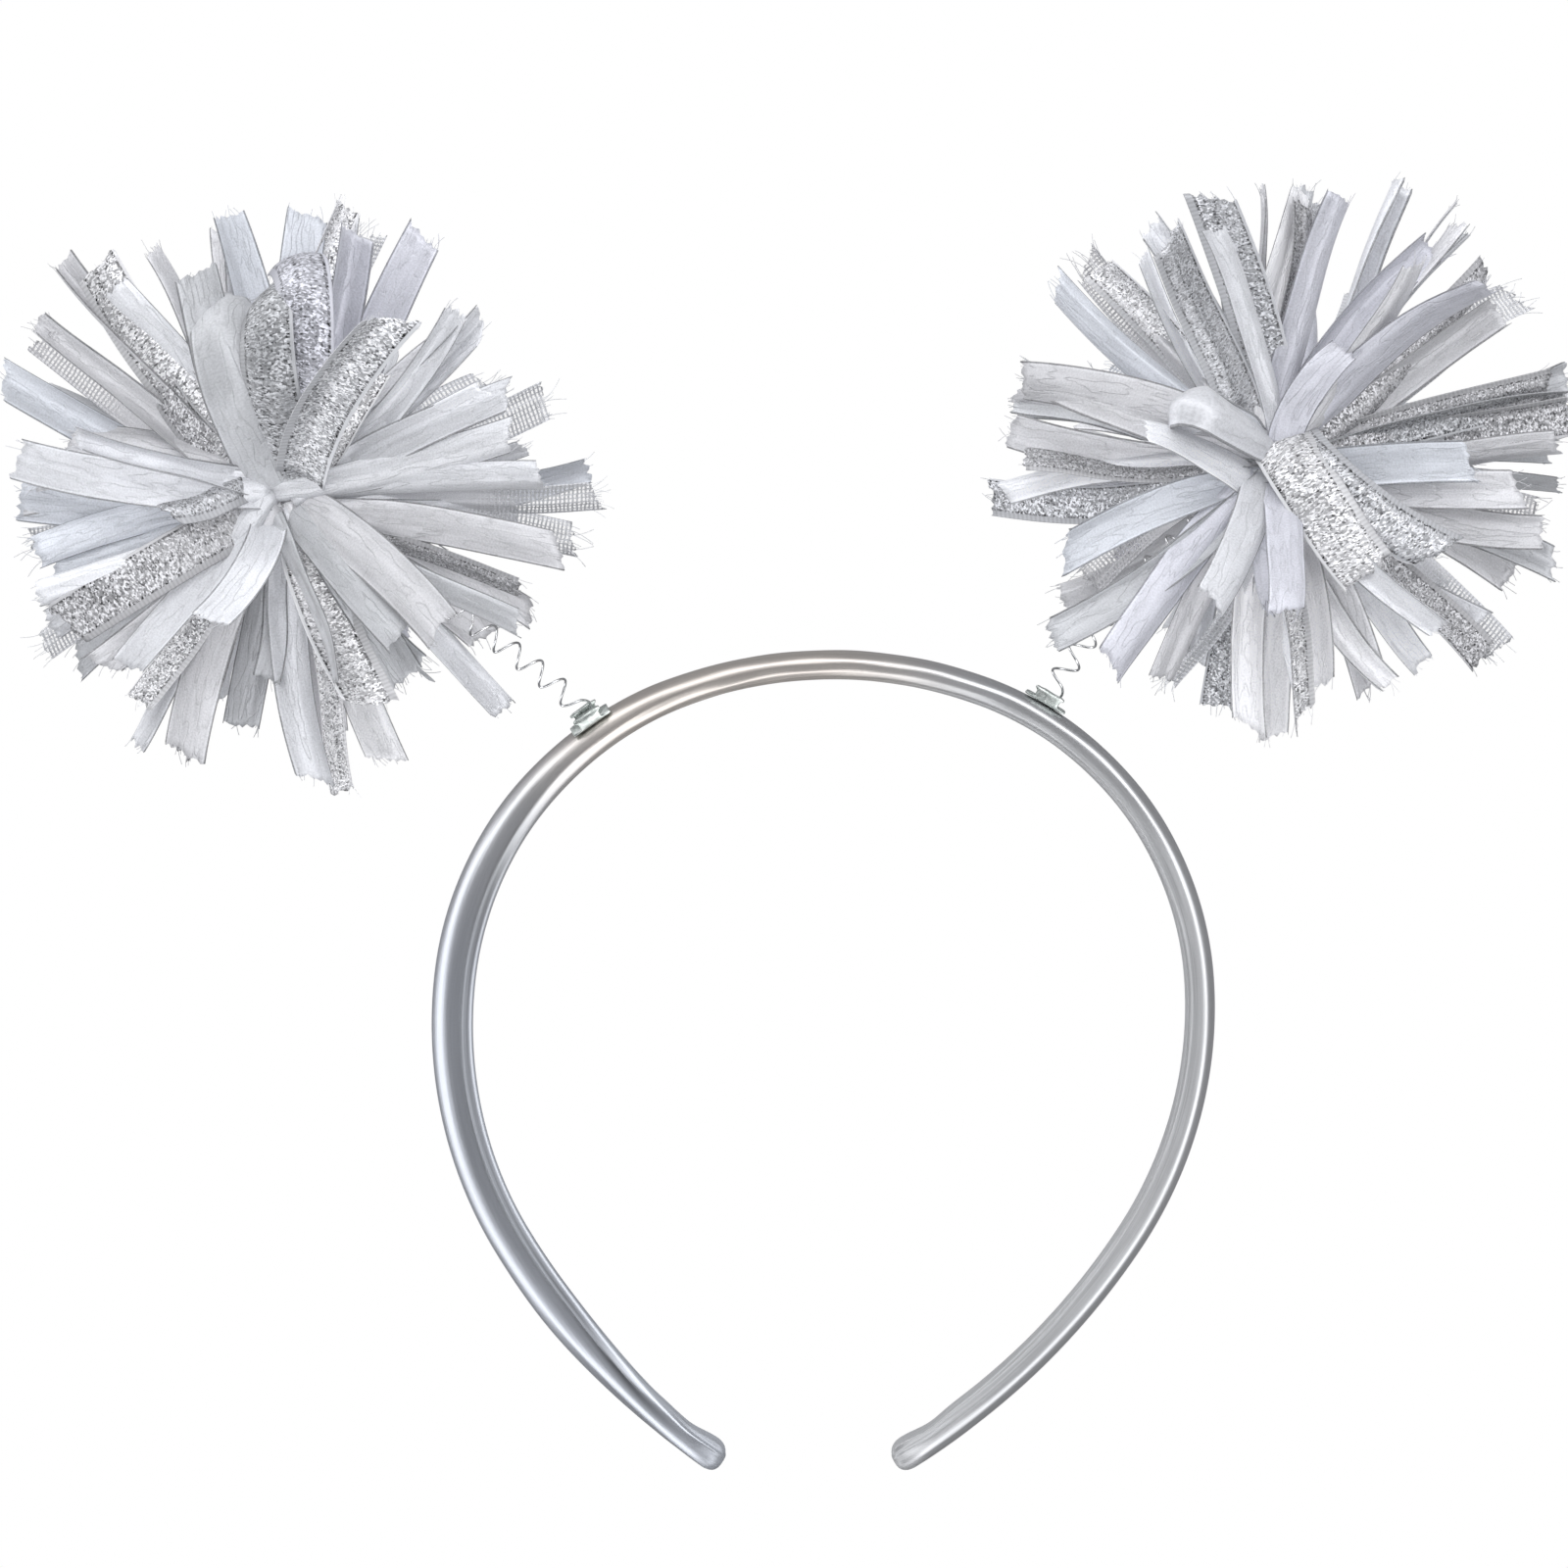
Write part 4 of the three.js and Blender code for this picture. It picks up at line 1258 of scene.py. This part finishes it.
def ribbon_piece(name, kind, ribbons, finish):
    """All the ribbons of one kind as one mesh of thin closed strips, with slanted and frayed cut ends. Each
    takes its own stretch of the cloth."""
    stations = np.linspace(0, 1, RIBBON_STATIONS) ** STATION_POWER
    edge = np.concatenate([[-1], np.linspace(-STRIP_EDGE, STRIP_EDGE, STRIP_POINTS), [1]])
    across = np.concatenate([edge, edge[::-1]])
    face = np.repeat([1.0, -1.0], len(edge))
    start = CORE_DIAMETER / 4 / ribbons.length
    fray = rng.uniform(*FRAY, (ribbons.count, 1, len(edge)))
    fray = np.concatenate([fray, fray[..., ::-1]], axis=2)
    cut = smoothstep(stations, *CUT_SHARE)[None, :, None]
    grown = (ribbons.slant * across + fray) / ribbons.length * cut
    share = start + stations[None, :, None] * (1 - start) + grown
    rings = ribbons.at(share, across[None, None], face * RIBBON_THICKNESS / 2)[0]
    rings = clear_of_spring(rings, name)
    along = share * ribbons.length + np.arange(ribbons.count)[:, None, None] * CLOTH_STEP
    cloth = np.stack(np.broadcast_arrays(across * HALF_RIBBON, along), axis=-1)
    cloth = np.concatenate([cloth, cloth[:, :, :1]], axis=2)
    marks = {"dye": tinted(rings, ribbons.dye), "worn": smoothstep(share, *NET_WORN)}
    made = tubes(f"pompom_{name}_{kind}", rings, cloth, **marks)
    made.visible_glossy = False
    finished(made, finish, f"pompom_{name}")


def loose_threads(name, groups, finish):
    """Threads that stick out of the cut ends: short strands carried on along each ribbon, fanned and curled
    a little, as thin closed tubes."""
    pieces, dyes = [], []
    run = np.linspace(0, 1, THREAD_STATIONS)[None, None]
    for kind, ribbons in groups.items():
        each, longest = THREADS[kind]
        shape = (ribbons.count, each, 1)
        across = rng.uniform(-THREAD_SPREAD, THREAD_SPREAD, shape)
        reach = rng.uniform(*THREAD_REACH, shape) ** 2 * longest
        share = THREAD_START + (THREAD_HOLD + reach / ribbons.length) * run
        path, course, sideways = ribbons.at(share, across)
        outward = np.cross(sideways, course)
        fan = (rng.normal(0, THREAD_FAN, shape) * reach * run ** 2)[..., None]
        curl = (rng.normal(0, THREAD_CURL, shape) * reach * run ** 2)[..., None]
        path = path + sideways * fan + outward * curl
        strands = [points.reshape(-1, THREAD_STATIONS, 3) for points in (path, outward)]
        pieces.append(wire_rings(*strands, THREAD_RADIUS, THREAD_ROUND))
        dyes.append(np.repeat(ribbons.dye, each, axis=0))
    rings = np.concatenate(pieces)
    cloth = seamed(THREAD_ROUND, 1, THREAD_CLOTH * run[0, 0])
    cloth = np.broadcast_to(cloth, (len(rings), *cloth.shape[1:]))
    made = tubes(f"pompom_{name}_threads", rings, cloth, dye=tinted(rings, np.concatenate(dyes)))
    finished(made, finish, f"pompom_{name}")


def tied_core(name, finish):
    """The tied middle of the ribbons: a ball whose radius rises and falls in pleats round it."""
    polar = np.linspace(POLE, np.pi - POLE, CORE_STATIONS)[:, None]
    angle = round_angles(CORE_ROUND)[None]
    pleats = CORE_PLEAT * np.cos(CORE_PLEATS * angle + 3 * np.sin(2 * polar))
    folds = CORE_FOLD * np.cos(CORE_FOLDS * angle + 5 * polar)
    radius = CORE_DIAMETER / 2 * (1 + (pleats + folds) * np.sin(polar))
    parts = [np.sin(polar) * np.cos(angle), np.sin(polar) * np.sin(angle), np.cos(polar) + 0 * angle]
    rings = (pompom_centre(name) + np.stack(parts, axis=-1) * radius[..., None])[None]
    cloth = seamed(CORE_ROUND, np.pi * CORE_DIAMETER, polar[:, 0] * CORE_DIAMETER / 2)
    made = tubes(f"pompom_{name}_core", rings, cloth, dye=tinted(rings, np.array([DYES["grey"]])))
    finished(made, finish, f"pompom_{name}")


def pompom(name, finishes):
    """One mesh for each kind of ribbon, one of loose threads and the tied middle."""
    centre = pompom_centre(name)
    behind = back_rows()
    groups = {
        kind: Ribbons(centre, RIBBONS[name, kind] + behind[kind], rolls) for kind, rolls in ROLLS.items()
    }
    for kind, ribbons in groups.items():
        ribbon_piece(name, kind, ribbons, finishes[kind])
    loose_threads(name, groups, finishes["thread"])
    tied_core(name, finishes["satin"])


# Floor, light and background.

def softbox(name, place, width, height, power):
    """A soft lamp that faces the middle of the object and is not mirrored in metal."""
    data = bpy.data.lights.new(name, "AREA")
    data.shape = "RECTANGLE"
    data.size = width
    data.size_y = height
    data.energy = power
    made = linked(name, data)
    made.location = place
    target = (cad_low + cad_high) / 2
    made.rotation_euler = (target - made.location).to_track_quat("-Z", "Y").to_euler()
    made.visible_glossy = False


def surround():
    """White where the camera sees it. It lights matt cloth the more from the front. Metal mirrors it as a
    dim room with a bright ring round the object, so that the band shows one line along it."""
    world = bpy.data.worlds.new("surround")
    world.use_nodes = True
    nodes = Nodes(world.node_tree)
    across = nodes.node("SeparateXYZ", {}, {0: nodes.node("TexCoord")})
    behind, up = across.output("Y"), across.output("Z")
    away = (across * across + up * up).math("SQRT")
    left = nodes.ease(-across / away, *RING_TURNS)
    offset, before, after = (
        elsewhere + left * (on_left - elsewhere)
        for elsewhere, on_left in (RING_OFFSET, RING_BEFORE, RING_BEHIND)
    )
    off = behind / away - offset
    ring = nodes.ease((off / after).math("MAXIMUM", -off / before), *RING_FADES)
    fill = nodes.mixed(nodes.ease(behind, *FILL_TURNS), FILL_BEHIND, FILL_BEFORE)
    rays = nodes.node("LightPath")
    mirrored = nodes.mixed(ring, ROOM_MIRRORED, RING_MIRRORED)
    colour = nodes.mixed(rays.output("Is Glossy Ray"), fill, mirrored)
    colour = nodes.mixed(rays, colour, WHITE)
    nodes.connect(nodes.tree.nodes["Background"].inputs["Color"], colour)
    bpy.context.scene.world = world


def studio():
    """A pale floor just under the tips, which glows where the camera sees it and is not mirrored in metal,
    and soft lamps round the object."""
    mesh = bpy.data.meshes.new("floor")
    corners = [(-1, -1), (1, -1), (1, 1), (-1, 1)]
    level = cad_low.z - FLOOR_BELOW
    mesh.from_pydata([(x * HALF_FLOOR, y * HALF_FLOOR, level) for x, y in corners], [], [range(4)])
    paint = Finish("floor_paint")
    paint.set(Base_Color=FLOOR_PAINT, Roughness=0.8)
    sockets = {0: paint.node("LightPath"), 1: paint.surface.outputs[0], 2: paint.node("Emission")}
    choice = paint.node("MixShader", {}, sockets)
    paint.connect(paint.tree.nodes["Material Output"].inputs["Surface"], choice)
    mesh.materials.append(paint.material)
    floor = linked("floor", mesh)
    floor.visible_glossy = False
    for name, lamp in LAMPS.items():
        softbox(f"lamp_{name}", *lamp)
    surround()
    bpy.context.scene.view_settings.view_transform = "Standard"


studio()
headband()
zinc = zinc_finish()
steel = steel_finish()
ribbon_finishes = {
    "satin": satin_ribbon_finish(),
    "glitter": glitter_ribbon_finish(),
    "net": net_ribbon_finish(),
    "thread": thread_finish(),
}
for side_name, spec in SIDES.items():
    spring_clip(side_name, spec["side"], zinc)
    coil_spring(side_name, steel)
    pompom(side_name, ribbon_finishes)
